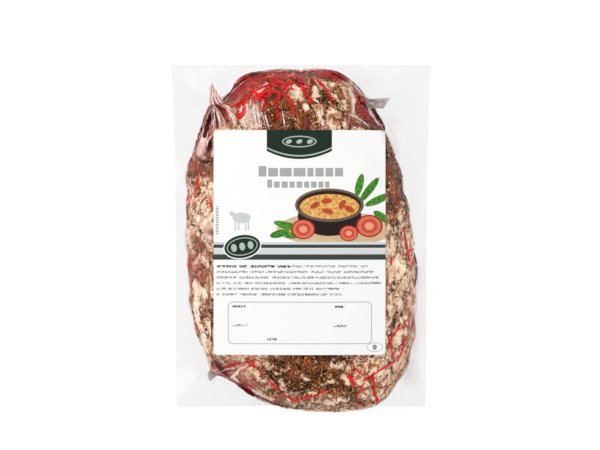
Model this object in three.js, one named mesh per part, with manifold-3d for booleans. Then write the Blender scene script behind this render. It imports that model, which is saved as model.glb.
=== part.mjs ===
// A vacuum-packed lamb roast: a boned leg, rolled in an elastic net and coated with herbs, shrunk tight in a clear
// pouch with flat seal margins, and a stiff paper label stuck on top.
// Millimetres, +Z up. The pack lies on its back with the label up. +Y points to the label's head, and the origin is
// the middle of the pack's footprint on the table.

import * as THREE from "three";
import { mergeVertices } from "three/addons/utils/BufferGeometryUtils.js";
import Module from "manifold-3d";

const wasm = await Module();
wasm.setup();

// ---- Driving sizes ----------------------------------------------------------------------------------------------

// The roast seen from above is a rounded block, with stretches of its edge swollen or drawn in. Bearings are in
// degrees, anticlockwise from +X.
const ROAST_HALF_WIDTH = 65.2;
const ROAST_HALF_LENGTH = 97.6;
const ROAST_SQUARENESS = 2.7;
const ROAST_MIDDLE_Y = -1.4;
const SWELLS = [
  { bearing: 44, by: -10.5, spread: 21 }, // slim right shoulder
  { bearing: 62, by: -6, spread: 5 },
  { bearing: 79, by: 1.8, spread: 5 }, // square corner of the head end
  { bearing: 118.5, by: -4, spread: 3 }, // pinched beside the left gather
  { bearing: 138, by: -1.4, spread: 7 },
  { bearing: 227, by: -1.4, spread: 8 },
  { bearing: 250, by: -6.8, spread: 9 }, // slanting cut of the left foot corner
  { bearing: 306, by: 6.8, spread: 14 }, // heavy right foot corner
];

// Seen from the side: flat on the table, widest at the seam, and nearly flat on top.
const TOP_Z = 71;
const SEAM_Z = 28;
const TOP_FULLNESS = 3.2;
const SQUARE_SHOULDER = { bearing: 46, by: 1.6, spread: 24 }; // fuller here, right out to the label's corner
const UNDER_FULLNESS = 2.6;
const UNDER_SINK = 2.5; // the table presses the underside flat by this much

// The net's strands wind both ways round the roast's long axis and cross in diamonds, which the meat fills like a quilt.
const NET_STRANDS = 14; // each way
const NET_CELL_LENGTH = 36;
const QUILT_DEPTH = 2.6;
const QUILT_MEAN = 0.4; // the share of that depth which the average point stands out
const QUILT_START_Z = 10; // the table presses the quilting flat below this
const UNDER_QUILT = 0.3;
const SIDE_ONLY = 3; // the higher, the less the quilting of the top spreads sideways

// The label.
const LABEL_WIDTH = 95;
const LABEL_LENGTH = 124.2;
const LABEL_MIDDLE_X = -0.85;
const LABEL_MIDDLE_Y = -2.1;
const LABEL_CORNER = 2;
const LABEL_THICKNESS = 0.4;
const LABEL_GAP = 0.4;
const LABEL_BEND_ACROSS = 3.6; // how far its long edges hang below its middle line
const LABEL_BEND_ALONG = 2.4;
const LABEL_BED_BORDER = 7; // the stiff label smooths the roast this far past its own edge
const LABEL_BED_LIMIT = 60; // the higher, the nearer to the roast's edge the label holds it up

// The two films meet in a flat margin round the roast.
const MARGIN_THICKNESS = 0.9;
const MARGIN_HEAD_Y = 99.6;
const MARGIN_FOOT_Y = -97.4;
const MARGIN_HEAD_HALF_WIDTH = 74.8;
const MARGIN_FOOT_HALF_WIDTH = 71.8;
const MARGIN_WAIST = 1.2; // the long edges are drawn in at half length
const MARGIN_DROOP = 5; // how far the margin's edge hangs below the seam
const MARGIN_FOOT_DROOP = 2;
const MARGIN_DROOP_CURVE = 1.5;
const MARGIN_WAVE = { height: 1.3, count: 5, phase: 1, reach: 2.4 };
const WEB_HEIGHT = 5; // the film leaves the roast this far above the seam
const UNDER_WEB_HEIGHT = 3; // and this far below it
const WEB_REACH = 4; // and lies flat this far out
const WEB_MOST_SHARE = 0.3; // of the margin's width
const FOOT_SEAM = { bearing: 274, drop: 17, spread: 24 }; // the foot end bulges over the margin, which starts lower
const FOOT_SEAM_START = 0.05;

// Folds of spare film that run over the shoulders. from and to are [x, y], on the roast or just off its edge.
const FOLDS = [
  { from: [-52, 88], to: [-63, 44], height: 3.6, width: 2.6 },
  { from: [-48, 82], to: [-49, 62], height: 3, width: 2.4 },
  { from: [-46, 83], to: [-28, 94], height: 2.6, width: 2.4 },
  { from: [39, 78], to: [47, 63], height: 2.8, width: 3 },
  { from: [38, 79], to: [20, 66], height: 1.8, width: 2.4 },
  { from: [-53, -76], to: [-36, -68], height: 2, width: 2.6 },
];
const FOLD_FADE = 0.6; // the share of its height that a fold loses along its length
const FOLD_RISE = 12; // folds reach their full height this far above the seam

// Ears: pinches of film that stand out from the roast's edge. Each outline is [x, y] in plan, and starts at its root.
const EARS = [
  { z: 46, thick: 5, tilt: 8, outline: [[-42, 68], [-46.5, 80], [-50.6, 85.8], [-53.2, 79], [-56, 64]] },
  { z: 43, thick: 1.1, tilt: 0, outline: [[26, 72], [35, 80.5], [41.6, 78.4], [50.8, 79], [47.8, 73.6], [38, 70]] },
  { z: 24, thick: 1.4, tilt: 6, outline: [[-40, -66], [-46.4, -77.6], [-52.8, -82.2], [-51.4, -75], [-54, -62]] },
];

// How finely each surface is divided. The margin's edge has five stretches: half its right side, its head, its left
// side, its foot, and the other half of its right side.
const EDGE_COLUMNS = [16, 24, 32, 24, 16];
const TOP_ROWS = 19;
const UNDER_ROWS = 11;
const MARGIN_STEPS = [0.35, 0.7, 1];
const LABEL_COLUMNS = 16;
const LABEL_ROWS = 20;

// ---- The roast's surface ----------------------------------------------------------------------------------------

const DEGREE = Math.PI / 180;
const { clamp, lerp, smoothstep } = THREE.MathUtils;

const bell = (distance, spread) => Math.exp(-0.5 * (distance / spread) ** 2);

// The smallest turn between two bearings.
const turnBetween = (a, b) => Math.abs(((((a - b) % 360) + 540) % 360) - 180);

const bearingOf = (x, y) => (Math.atan2(y - ROAST_MIDDLE_Y, x) / DEGREE + 360) % 360;

// How far the roast reaches from its middle, along a bearing.
function reachOf(bearing) {
  const across = Math.abs(Math.cos(bearing * DEGREE)) / ROAST_HALF_WIDTH;
  const along = Math.abs(Math.sin(bearing * DEGREE)) / ROAST_HALF_LENGTH;
  const block = (across ** ROAST_SQUARENESS + along ** ROAST_SQUARENESS) ** (-1 / ROAST_SQUARENESS);
  return SWELLS.reduce((reach, swell) => reach + swell.by * bell(turnBetween(bearing, swell.bearing), swell.spread), block);
}

const topFullness = (bearing) =>
  TOP_FULLNESS + SQUARE_SHOULDER.by * bell(turnBetween(bearing, SQUARE_SHOULDER.bearing), SQUARE_SHOULDER.spread);

// 1 under the label, falling to 0 round it.
function labelBed(x, y) {
  const past = Math.hypot(
    Math.max(0, Math.abs(x - LABEL_MIDDLE_X) - LABEL_WIDTH / 2),
    Math.max(0, Math.abs(y - LABEL_MIDDLE_Y) - LABEL_LENGTH / 2),
  );
  return 1 - smoothstep(past, 0, LABEL_BED_BORDER);
}

// The height of the roast's top, which the stiff label lifts at its corners.
function topHeight(x, y) {
  const bearing = bearingOf(x, y);
  const shareOut = clamp(Math.hypot(x, y - ROAST_MIDDLE_Y) / reachOf(bearing), 0, 1);
  const fullness = topFullness(bearing);
  const dome = SEAM_Z + (TOP_Z - SEAM_Z) * (1 - shareOut ** fullness) ** (1 / fullness);
  const across = ((x - LABEL_MIDDLE_X) / (LABEL_WIDTH / 2)) ** 2;
  const along = ((y - LABEL_MIDDLE_Y) / (LABEL_LENGTH / 2)) ** 2;
  const flat = TOP_Z - LABEL_BEND_ACROSS * across - LABEL_BEND_ALONG * along;
  return dome + Math.max(0, flat - dome) * labelBed(x, y) * (1 - shareOut ** LABEL_BED_LIMIT);
}

// How far the meat stands out between the strands of its net.
function quiltAt(x, y, z) {
  const around = (Math.atan2(z - SEAM_Z, x) / (2 * Math.PI)) * NET_STRANDS;
  const along = y / NET_CELL_LENGTH;
  const cell = Math.abs(Math.sin(Math.PI * (around + along)) * Math.sin(Math.PI * (around - along)));
  return QUILT_DEPTH * (cell - QUILT_MEAN);
}

// How far the film stands out in its folds.
function foldsAt(x, y, z) {
  const rise = smoothstep(z, SEAM_Z, SEAM_Z + FOLD_RISE);
  return FOLDS.reduce((sum, { from, to, height, width }) => {
    const [dx, dy] = [to[0] - from[0], to[1] - from[1]];
    const along = clamp(((x - from[0]) * dx + (y - from[1]) * dy) / (dx * dx + dy * dy), 0, 1);
    const off = Math.hypot(x - from[0] - along * dx, y - from[1] - along * dy);
    return sum + height * (1 - FOLD_FADE * along) * bell(off, width) * rise;
  }, 0);
}

// A point of the roast, from its bearing and its tilt, which is 90 at the top, 0 at the seam and -90 underneath.
function roastPoint(bearing, tilt) {
  const isTop = tilt > 0;
  const fullness = isTop ? topFullness(bearing) : UNDER_FULLNESS;
  const out = Math.abs(Math.cos(tilt * DEGREE)) ** (2 / fullness);
  const up = Math.abs(Math.sin(tilt * DEGREE)) ** (2 / fullness);
  const [turnX, turnY] = [Math.cos(bearing * DEGREE), Math.sin(bearing * DEGREE)];
  const reach = reachOf(bearing) * out;
  const x = reach * turnX;
  const y = ROAST_MIDDLE_Y + reach * turnY;
  const z = isTop ? topHeight(x, y) : SEAM_Z - (SEAM_Z + UNDER_SINK) * up;
  const free = isTop ? 1 - labelBed(x, y) : smoothstep(z, 0, QUILT_START_Z);
  const relief = (quiltAt(x, y, z) + foldsAt(x, y, z)) * free;
  const sideways = relief * out ** SIDE_ONLY;
  const upwards = relief * up * (isTop ? 1 : -UNDER_QUILT);
  return new THREE.Vector3(x + sideways * turnX, y + sideways * turnY, Math.max(0, z + upwards));
}

// The tilt at which the roast passes a height.
function tiltAt(z, bearing) {
  if (z > SEAM_Z) return Math.asin(((z - SEAM_Z) / (TOP_Z - SEAM_Z)) ** (topFullness(bearing) / 2)) / DEGREE;
  return -Math.asin(((SEAM_Z - z) / (SEAM_Z + UNDER_SINK)) ** (UNDER_FULLNESS / 2)) / DEGREE;
}

// ---- The pouch --------------------------------------------------------------------------------------------------

// The margin's edge in plan, anticlockwise from the middle of its right side, with a point for each column.
function marginEdge() {
  const corners = [
    [MARGIN_HEAD_HALF_WIDTH, 0],
    [MARGIN_HEAD_HALF_WIDTH, MARGIN_HEAD_Y],
    [-MARGIN_HEAD_HALF_WIDTH, MARGIN_HEAD_Y],
    [-MARGIN_FOOT_HALF_WIDTH, MARGIN_FOOT_Y],
    [MARGIN_FOOT_HALF_WIDTH, MARGIN_FOOT_Y],
    [MARGIN_FOOT_HALF_WIDTH, 0],
  ];
  const waist = (MARGIN_HEAD_HALF_WIDTH + MARGIN_FOOT_HALF_WIDTH) / 2 - MARGIN_WAIST;
  const edge = [];
  EDGE_COLUMNS.forEach((columns, side) => {
    const [a, b] = [corners[side], corners[side + 1]];
    const isLongSide = side % 2 === 0;
    for (let i = 0; i < columns; i += 1) {
      const point = new THREE.Vector2(lerp(a[0], b[0], i / columns), lerp(a[1], b[1], i / columns));
      if (isLongSide) {
        const share = point.y / (point.y > 0 ? MARGIN_HEAD_Y : MARGIN_FOOT_Y);
        const corner = point.y > 0 ? MARGIN_HEAD_HALF_WIDTH : MARGIN_FOOT_HALF_WIDTH;
        point.x = Math.sign(point.x) * lerp(waist, corner, share ** 2);
      }
      edge.push(point);
    }
  });
  edge.push(edge[0]);
  return edge;
}

// One column of the pouch: from the top of the roast, out over the margin, back under it, and down to the table.
function pouchColumn(edge) {
  const bearing = bearingOf(edge.x, edge.y);
  const foot = bell(turnBetween(bearing, FOOT_SEAM.bearing), FOOT_SEAM.spread);
  const seamZ = SEAM_Z - FOOT_SEAM.drop * foot;
  const seam = roastPoint(bearing, tiltAt(seamZ, bearing));
  const width = Math.hypot(edge.x - seam.x, edge.y - seam.y);
  const droop = lerp(MARGIN_DROOP, MARGIN_FOOT_DROOP, foot);

  const marginPoint = (share, side) => {
    const { height, count, phase, reach } = MARGIN_WAVE;
    const wave = height * Math.sin(bearing * DEGREE * count + phase) * Math.sin(share * reach);
    const z = seamZ - droop * share ** MARGIN_DROOP_CURVE + wave + (side * MARGIN_THICKNESS) / 2;
    return new THREE.Vector3(lerp(seam.x, edge.x, share), lerp(seam.y, edge.y, share), z);
  };
  const web = Math.min(WEB_MOST_SHARE, WEB_REACH / width);
  const shares = [web, ...MARGIN_STEPS.map((step) => lerp(web, 1, step))];

  const webTopZ = foot > FOOT_SEAM_START ? Math.min(SEAM_Z, seamZ + WEB_HEIGHT) : seamZ + WEB_HEIGHT;
  const webTopTilt = tiltAt(webTopZ, bearing);
  const webUnderTilt = tiltAt(seamZ - UNDER_WEB_HEIGHT, bearing);
  const column = [];
  for (let row = 0; row <= TOP_ROWS; row += 1) {
    column.push(roastPoint(bearing, lerp(90, webTopTilt, row / TOP_ROWS)));
  }
  column.push(...shares.map((share) => marginPoint(share, 1)));
  column.push(...shares.reverse().map((share) => marginPoint(share, -1)));
  for (let row = 0; row <= UNDER_ROWS; row += 1) {
    column.push(roastPoint(bearing, lerp(webUnderTilt, -90, row / UNDER_ROWS)));
  }
  return column;
}

// The pouch is a sphere's mesh, with each of its columns laid down the pack.
function pouchGeometry() {
  const columns = marginEdge().map(pouchColumn);
  const across = columns.length - 1;
  const down = columns[0].length - 1;
  const geometry = new THREE.SphereGeometry(1, across, down);
  const position = geometry.getAttribute("position");
  columns.forEach((column, i) => {
    column.forEach((point, row) => position.setXYZ(row * (across + 1) + i, point.x, point.y, point.z));
  });
  return geometry;
}

// A pinch of film, as a plate that tilts up or down away from the roast.
function earGeometry({ z, thick, tilt, outline }) {
  const shape = new THREE.Shape(outline.map(([x, y]) => new THREE.Vector2(x, y)));
  const geometry = new THREE.ExtrudeGeometry(shape, { depth: thick, bevelEnabled: false });
  const [rootX, rootY] = outline[0];
  return geometry
    .translate(-rootX, -rootY, -thick / 2)
    .rotateY(-Math.sign(rootX) * tilt * DEGREE)
    .translate(rootX, rootY, z);
}

// ---- The label --------------------------------------------------------------------------------------------------

// The label is a thin box with round corners, bent over the roast.
function labelGeometry() {
  const geometry = new THREE.BoxGeometry(LABEL_WIDTH, LABEL_LENGTH, LABEL_THICKNESS, LABEL_COLUMNS, LABEL_ROWS, 1);
  const position = geometry.getAttribute("position");
  for (let i = 0; i < position.count; i += 1) {
    const flat = new THREE.Vector3().fromBufferAttribute(position, i);
    const inner = new THREE.Vector2(
      clamp(flat.x, LABEL_CORNER - LABEL_WIDTH / 2, LABEL_WIDTH / 2 - LABEL_CORNER),
      clamp(flat.y, LABEL_CORNER - LABEL_LENGTH / 2, LABEL_LENGTH / 2 - LABEL_CORNER),
    );
    const past = new THREE.Vector2(flat.x, flat.y).sub(inner).clampLength(0, LABEL_CORNER);
    const x = LABEL_MIDDLE_X + inner.x + past.x;
    const y = LABEL_MIDDLE_Y + inner.y + past.y;
    position.setXYZ(i, x, y, topHeight(x, y) + LABEL_GAP + LABEL_THICKNESS / 2 + flat.z);
  }
  return geometry;
}

// ---- Joining and placing ----------------------------------------------------------------------------------------

// A three.js geometry with its shared vertices merged, as a solid that can be joined.
function solidOf(geometry) {
  const plain = geometry.clone();
  plain.deleteAttribute("normal");
  plain.deleteAttribute("uv");
  const merged = mergeVertices(plain, 1e-4);
  return new wasm.Manifold(
    new wasm.Mesh({
      numProp: 3,
      vertProperties: new Float32Array(merged.getAttribute("position").array),
      triVerts: new Uint32Array(merged.index.array),
    }),
  );
}

function namedMesh(name, solid, color, roughness) {
  const { vertProperties, triVerts } = solid.getMesh();
  const geometry = new THREE.BufferGeometry();
  geometry.setAttribute("position", new THREE.BufferAttribute(vertProperties, 3));
  geometry.setIndex(new THREE.BufferAttribute(triVerts, 1));
  geometry.computeVertexNormals();
  const mesh = new THREE.Mesh(geometry, new THREE.MeshStandardMaterial({ color, roughness, metalness: 0 }));
  mesh.name = name;
  return mesh;
}

const pouch = EARS.reduce((solid, ear) => solid.add(solidOf(earGeometry(ear))), solidOf(pouchGeometry()));
const label = solidOf(labelGeometry());

const pack = new THREE.Group();
pack.add(namedMesh("pouch", pouch, 0xa8705a, 0.25));
pack.add(namedMesh("label", label, 0xf8f8f5, 0.5));

export default pack;
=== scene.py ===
# %% [markdown]
# # A vacuum-packed lamb roast
# A boned leg of lamb is rolled, pulled into a red elastic net and coated with herbs and spices. A clear
# pouch is shrunk round it under vacuum, with flat seal margins, and a big white label is stuck on top. The
# pack lies on its back with the label up. The CAD solids give its size: `pouch`, with all that is inside,
# and `label`. This script shows both as what they are: film, meat, net, herbs and printed paper.
#
# Sizes are in millimetres until a mesh is made, because that is how such a pack is measured.

# %% The frame
import itertools
import math

import bmesh
import bpy
import numpy as np
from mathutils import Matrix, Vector, noise
from mathutils.bvhtree import BVHTree


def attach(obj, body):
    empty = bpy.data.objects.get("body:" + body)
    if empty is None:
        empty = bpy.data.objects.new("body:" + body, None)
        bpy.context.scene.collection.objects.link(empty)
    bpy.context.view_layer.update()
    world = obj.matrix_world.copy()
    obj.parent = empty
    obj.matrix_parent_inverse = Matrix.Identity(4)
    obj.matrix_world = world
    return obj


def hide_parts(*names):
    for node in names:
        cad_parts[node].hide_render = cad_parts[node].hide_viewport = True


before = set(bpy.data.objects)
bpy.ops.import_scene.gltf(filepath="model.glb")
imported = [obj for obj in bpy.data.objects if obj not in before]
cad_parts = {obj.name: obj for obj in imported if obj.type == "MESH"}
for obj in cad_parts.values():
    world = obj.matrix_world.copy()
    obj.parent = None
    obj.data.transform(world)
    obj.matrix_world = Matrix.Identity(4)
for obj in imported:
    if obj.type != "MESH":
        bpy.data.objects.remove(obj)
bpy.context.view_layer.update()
MM = 0.001

# %% [markdown]
# Shader sums are written as Python expressions. A `Wire` is one output of a node, and adding, taking or
# multiplying wires adds the Math nodes that do it. Every other node comes from its `node` method.

# %% Shader arithmetic
GLOSS, FILM_IOR, MOST_SHINE = (0.9, 0.9, 0.9, 1.0), 1.22, 0.035


class Wire:
    """An output in a material's nodes. A sum written on it adds the nodes that work it out."""

    def __init__(self, tree, socket=None):
        self.tree, self.socket = tree, socket

    def node(self, kind, inputs=(), output=0, **settings):
        made = self.tree.nodes.new("ShaderNode" + kind)
        for name, value in settings.items():
            setattr(made, name, value)
        for name, value in dict(inputs).items():
            if isinstance(value, Wire):
                self.tree.links.new(value.socket, made.inputs[name])
            else:
                made.inputs[name].default_value = value
        return Wire(self.tree, made.outputs[output])

    def math(self, operation, *values):
        return self.node("Math", enumerate(values), operation=operation)

    def __add__(self, other):
        return self.math("ADD", self, other)

    def __sub__(self, other):
        return self.math("SUBTRACT", self, other)

    def __rsub__(self, other):
        return self.math("SUBTRACT", other, self)

    def __mul__(self, other):
        return self.math("MULTIPLY", self, other)

    __radd__, __rmul__ = __add__, __mul__

    def least(self, other):
        return self.math("MINIMUM", self, other)

    def most(self, other):
        return self.math("MAXIMUM", self, other)

    def taken(self, operation):
        """ABSOLUTE, FRACT or SQRT of this."""
        return self.math(operation, self)

    def smooth(self, low, high):
        """0 below low, 1 above high, and a soft step between them. With low above high it falls."""
        settings = {"interpolation_type": "SMOOTHSTEP"}
        return self.node("MapRange", {"Value": self, "From Min": low, "From Max": high}, **settings)

    def mix(self, low, high):
        """The colour low where this is 0, and high where it is 1."""
        return self.node("Mix", {0: self, 6: low, 7: high}, output=2, data_type="RGBA")

    def shaders(self, low, high):
        return self.node("MixShader", {0: self, 1: low, 2: high})

    def noise(self, scale, detail=2.0, rough=0.5):
        return self.node("TexNoise", {"Vector": self, "Scale": scale, "Detail": detail, "Roughness": rough})

    def stretched(self, x, y, z):
        return self.node("VectorMath", {0: self, 1: (x, y, z)}, operation="MULTIPLY")

    def bump(self, depth, strength=1.0):
        """A normal for a height in millimetres."""
        return self.node("Bump", {"Height": self, "Distance": depth * MM, "Strength": strength})

    def place(self):
        """Where a point is on its piece, in metres."""
        return self.node("TexCoord", output="Object")

    def painted(self, *names):
        """The numbers that are painted on the mesh under some names."""
        return [self.node("Attribute", output=2, attribute_name=name) for name in names]

    def body(self, colour, roughness, specular, **more):
        """A solid surface. More inputs go by their names, with _ for a space."""
        inputs = {name.replace("_", " "): value for name, value in more.items()}
        inputs |= {"Base Color": colour, "Roughness": roughness, "Specular IOR Level": specular}
        return self.node("BsdfPrincipled", inputs)

    def clear(self, colour):
        return self.node("BsdfTransparent", {"Color": colour})

    def gloss(self, normal, roughness):
        """The film's gloss, and how strong it is: more where the film is seen aslant."""
        shine = self.node("Fresnel", {"IOR": FILM_IOR, "Normal": normal}).least(MOST_SHINE)
        return shine, self.node("BsdfGlossy", {"Color": GLOSS, "Roughness": roughness, "Normal": normal})


def srgb(red, green, blue):
    """A colour as it reads on a screen, 0 to 255, as the light that shaders work with."""
    screen = np.array([red, green, blue]) / 255
    light = np.where(screen < 0.0405, screen / 12.92, ((screen + 0.055) / 1.055) ** 2.4)
    return (*light.tolist(), 1.0)


def finish_of(name, make):
    """A material whose shader is what make(start) returns."""
    material = bpy.data.materials.new(name)
    material.use_nodes = True
    tree = material.node_tree
    tree.nodes.clear()
    shader = make(Wire(tree))
    tree.links.new(shader.socket, tree.nodes.new("ShaderNodeOutputMaterial").inputs["Surface"])
    print("finish", name, "has", len(tree.nodes), "nodes")
    return material


# %% [markdown]
# ## The roast's form
# The CAD pouch is worked out from a few named sizes: a rounded block in plan, swollen and drawn in at named
# bearings, nearly flat on top, and pressed flat by the table. The film and the meat follow the same surface
# with a finer mesh, so the same formula is written here with numpy, which works on all points at once. A
# few trims of a millimetre or two make the outline more exact than the CAD needs.

# %% Sizes of the roast
HALF_WIDTH, HALF_LENGTH, SQUARENESS, MIDDLE_Y = 65.2, 97.6, 2.7, -1.4
SWELLS = [  # bearing in degrees, millimetres out, spread in degrees
    (44, -10.5, 21), (62, -6, 5), (79, 1.8, 5), (118.5, -4, 3),
    (138, -1.4, 7), (227, -1.4, 8), (250, -6.8, 9), (306, 6.8, 14),
]
TRIMS = [
    (149, 1.7, 6), (198, -1.4, 11), (36, 1.5, 7), (1, -1.2, 4),
    (268, -1.0, 8), (294, 2.0, 5), (240, -0.8, 4),
]
TOP_Z, SEAM_Z, TOP_FULLNESS, UNDER_FULLNESS, UNDER_SINK = 71, 28, 3.2, 2.6, 2.5
SHOULDER_BEARING, SHOULDER_BY, SHOULDER_SPREAD = 46, 1.6, 24
NET_STRANDS, NET_CELL = 14, 36
QUILT_DEPTH, QUILT_MEAN, QUILT_START_Z, UNDER_QUILT, SIDE_ONLY = 2.6, 0.4, 10, 0.3, 3
LABEL_WIDTH, LABEL_LENGTH, LABEL_X, LABEL_Y = 95, 124.2, -0.85, -2.1
LABEL_CORNER, LABEL_THICKNESS, LABEL_GAP = 2, 0.4, 0.4
LABEL_BEND_ACROSS, LABEL_BEND_ALONG, BED_BORDER, BED_LIMIT = 3.6, 2.4, 7, 60
FOLDS = [  # from, to, height, width
    ((-52, 88), (-63, 44), 3.6, 2.6), ((-48, 82), (-49, 62), 3, 2.4), ((-46, 83), (-28, 94), 2.6, 2.4),
    ((39, 78), (47, 63), 2.8, 3), ((38, 79), (20, 66), 1.8, 2.4), ((-53, -76), (-36, -68), 2, 2.6),
]
FOLD_FADE, FOLD_RISE = 0.6, 12


# %% The roast's surface
def bell(distance, spread):
    return np.exp(-0.5 * (distance / spread) ** 2)


def soft_step(value, low, high):
    share = np.clip((value - low) / (high - low), 0, 1)
    return share * share * (3 - 2 * share)


def turn_between(a, b):
    return np.abs((a - b + 540) % 360 - 180)


def bearing_of(x, y):
    return np.degrees(np.arctan2(y - MIDDLE_Y, x)) % 360


def reach_of(bearing):
    across = np.abs(np.cos(np.radians(bearing))) / HALF_WIDTH
    along = np.abs(np.sin(np.radians(bearing))) / HALF_LENGTH
    block = (across**SQUARENESS + along**SQUARENESS) ** (-1 / SQUARENESS)
    return block + sum(by * bell(turn_between(bearing, at), spread) for at, by, spread in SWELLS + TRIMS)


def top_fullness(bearing):
    return TOP_FULLNESS + SHOULDER_BY * bell(turn_between(bearing, SHOULDER_BEARING), SHOULDER_SPREAD)


def label_bed(x, y):
    past_x = np.maximum(0, np.abs(x - LABEL_X) - LABEL_WIDTH / 2)
    past_y = np.maximum(0, np.abs(y - LABEL_Y) - LABEL_LENGTH / 2)
    return 1 - soft_step(np.hypot(past_x, past_y), 0, BED_BORDER)


def top_height(x, y):
    bearing = bearing_of(x, y)
    share = np.clip(np.hypot(x, y - MIDDLE_Y) / reach_of(bearing), 0, 1)
    fullness = top_fullness(bearing)
    dome = SEAM_Z + (TOP_Z - SEAM_Z) * (1 - share**fullness) ** (1 / fullness)
    across, along = (x - LABEL_X) / (LABEL_WIDTH / 2), (y - LABEL_Y) / (LABEL_LENGTH / 2)
    flat = TOP_Z - LABEL_BEND_ACROSS * across**2 - LABEL_BEND_ALONG * along**2
    return dome + np.maximum(0, flat - dome) * label_bed(x, y) * (1 - share**BED_LIMIT)


def quilt_at(x, y, z):
    around = np.arctan2(z - SEAM_Z, x) / (2 * math.pi) * NET_STRANDS
    along = y / NET_CELL
    cell = np.abs(np.sin(math.pi * (around + along)) * np.sin(math.pi * (around - along)))
    return QUILT_DEPTH * (cell - QUILT_MEAN)


def from_line(x, y, start, end):
    """How far along a line points are, from 0 to 1, and how far off it."""
    (ax, ay), (bx, by) = start, end
    dx, dy = bx - ax, by - ay
    along = np.clip(((x - ax) * dx + (y - ay) * dy) / (dx * dx + dy * dy), 0, 1)
    return along, np.hypot(x - ax - along * dx, y - ay - along * dy)


def folds_at(x, y, z):
    total = 0
    for start, end, height, width in FOLDS:
        along, off = from_line(x, y, start, end)
        total = total + height * (1 - FOLD_FADE * along) * bell(off, width)
    return total * soft_step(z, SEAM_Z, SEAM_Z + FOLD_RISE)


def roast_point(bearing, tilt, taut=0.0):
    """Points of the roast: tilt is 90 on top, 0 at the seam, -90 below. Taut film bridges the grooves."""
    is_top = tilt > 0
    fullness = np.where(is_top, top_fullness(bearing), UNDER_FULLNESS)
    out = np.abs(np.cos(np.radians(tilt))) ** (2 / fullness)
    up = np.abs(np.sin(np.radians(tilt))) ** (2 / fullness)
    turn_x, turn_y = np.cos(np.radians(bearing)), np.sin(np.radians(bearing))
    reach = reach_of(bearing) * out
    x, y = reach * turn_x, MIDDLE_Y + reach * turn_y
    z = np.where(is_top, top_height(x, y), SEAM_Z - (SEAM_Z + UNDER_SINK) * up)
    free = np.where(is_top, 1 - label_bed(x, y), soft_step(z, 0, QUILT_START_Z))
    quilt = quilt_at(x, y, z)
    relief = (np.maximum(quilt, quilt * (1 - taut)) + folds_at(x, y, z)) * free
    sideways, upwards = relief * out**SIDE_ONLY, relief * up * np.where(is_top, 1, -UNDER_QUILT)
    points = [x + sideways * turn_x, y + sideways * turn_y, np.maximum(0, z + upwards)]
    return np.stack(points, axis=-1)


def tilt_at(z, bearing):
    over = np.clip((z - SEAM_Z) / (TOP_Z - SEAM_Z), 0, 1) ** (top_fullness(bearing) / 2)
    under = np.clip((SEAM_Z - z) / (SEAM_Z + UNDER_SINK), 0, 1) ** (UNDER_FULLNESS / 2)
    return np.degrees(np.where(z > SEAM_Z, np.arcsin(over), -np.arcsin(under)))


# %% [markdown]
# A closed skin like this has a natural mesh: a UV sphere, with its columns of vertices laid down the pack
# from the top to the table. `lay_on_sphere` makes the sphere with a bmesh operator and moves each vertex to
# its place, so the poles and the seam stay closed, and faces keep pointing out.

# %% A sphere laid over given points
noise.seed_set(7)
ABOVE_ALL, DOWN = 200, Vector((0, 0, -1))


def in_order(mesh):
    """Sorts the faces, which some operators leave in an order that changes from run to run."""
    mesh.verts.index_update()
    count = len(mesh.verts)
    mesh.faces.sort(key=lambda face: face.loops[0].vert.index * count + face.loops[1].vert.index)
    mesh.faces.index_update()


def lay_on_sphere(points):
    """A bmesh sphere moved to points[row, column], in millimetres. Each vertex keeps its row and column."""
    rows, columns = points.shape[:2]
    mesh = bmesh.new()
    bmesh.ops.create_uvsphere(mesh, u_segments=columns, v_segments=rows - 1, radius=1)
    in_order(mesh)
    places = []
    for vertex in mesh.verts:
        x, y, z = vertex.co
        row = round(math.atan2(math.hypot(x, y), z) / math.pi * (rows - 1))
        places.append((row, round(math.atan2(y, x) / (2 * math.pi) * columns) % columns))
    for vertex, place in zip(mesh.verts, places):
        vertex.co = points[place]
    mesh.normal_update()
    return mesh, np.array(places)


def lift(mesh, heights):
    """Moves each vertex along its normal, in millimetres."""
    for vertex, height in zip(mesh.verts, heights.tolist()):
        vertex.co += vertex.normal * height
    mesh.normal_update()


def paint(mesh, name, values):
    """Stores a number for each vertex, for the finish to read."""
    layer = mesh.verts.layers.float.new(name)
    for vertex, value in zip(mesh.verts, values.tolist()):
        vertex[layer] = value


def rough_at(points, size, seed=0.0):
    """Smooth noise between about -0.5 and 0.5, with lumps of a size in millimetres."""
    return np.array([noise.noise(Vector(p) / size + Vector((seed, 0, 0))) for p in points.tolist()])


def straight_down(tree, x, y):
    """Where a surface is met from above, and its normal there, or None twice."""
    return tree.ray_cast(Vector((x, y, ABOVE_ALL)), DOWN)[:2]


def linked(name, data):
    """A new object in the scene."""
    made = bpy.data.objects.new(name, data)
    bpy.context.scene.collection.objects.link(made)
    return made


def piece_of(name, data, finishes, slot):
    """Makes mesh data a piece of the pack."""
    for finish in finishes:
        data.materials.append(finish)
    piece = linked(name, data)
    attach(piece, "root")
    print(name, "has", sum(len(p.vertices) - 2 for p in data.polygons), "triangles")
    return piece


def settle(name, mesh, finishes, slot, smooth=True):
    """Makes a bmesh in millimetres a piece of the pack."""
    bmesh.ops.scale(mesh, verts=mesh.verts, vec=(MM, MM, MM))
    data = bpy.data.meshes.new(name)
    mesh.to_mesh(data)
    mesh.free()
    for polygon in data.polygons:
        polygon.use_smooth = smooth
    return piece_of(name, data, finishes, slot)


# %% [markdown]
# ## Where the roast is pale, dark or bloody
# No two places of such a roast look alike. Fat is cream, lean is red-brown, some parts lie under a thick
# crust of herbs, and juice collects where the film creases. A short list of soft spots says so, in plan,
# and each point of the surface takes a weighted mean of the spots near it.

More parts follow.
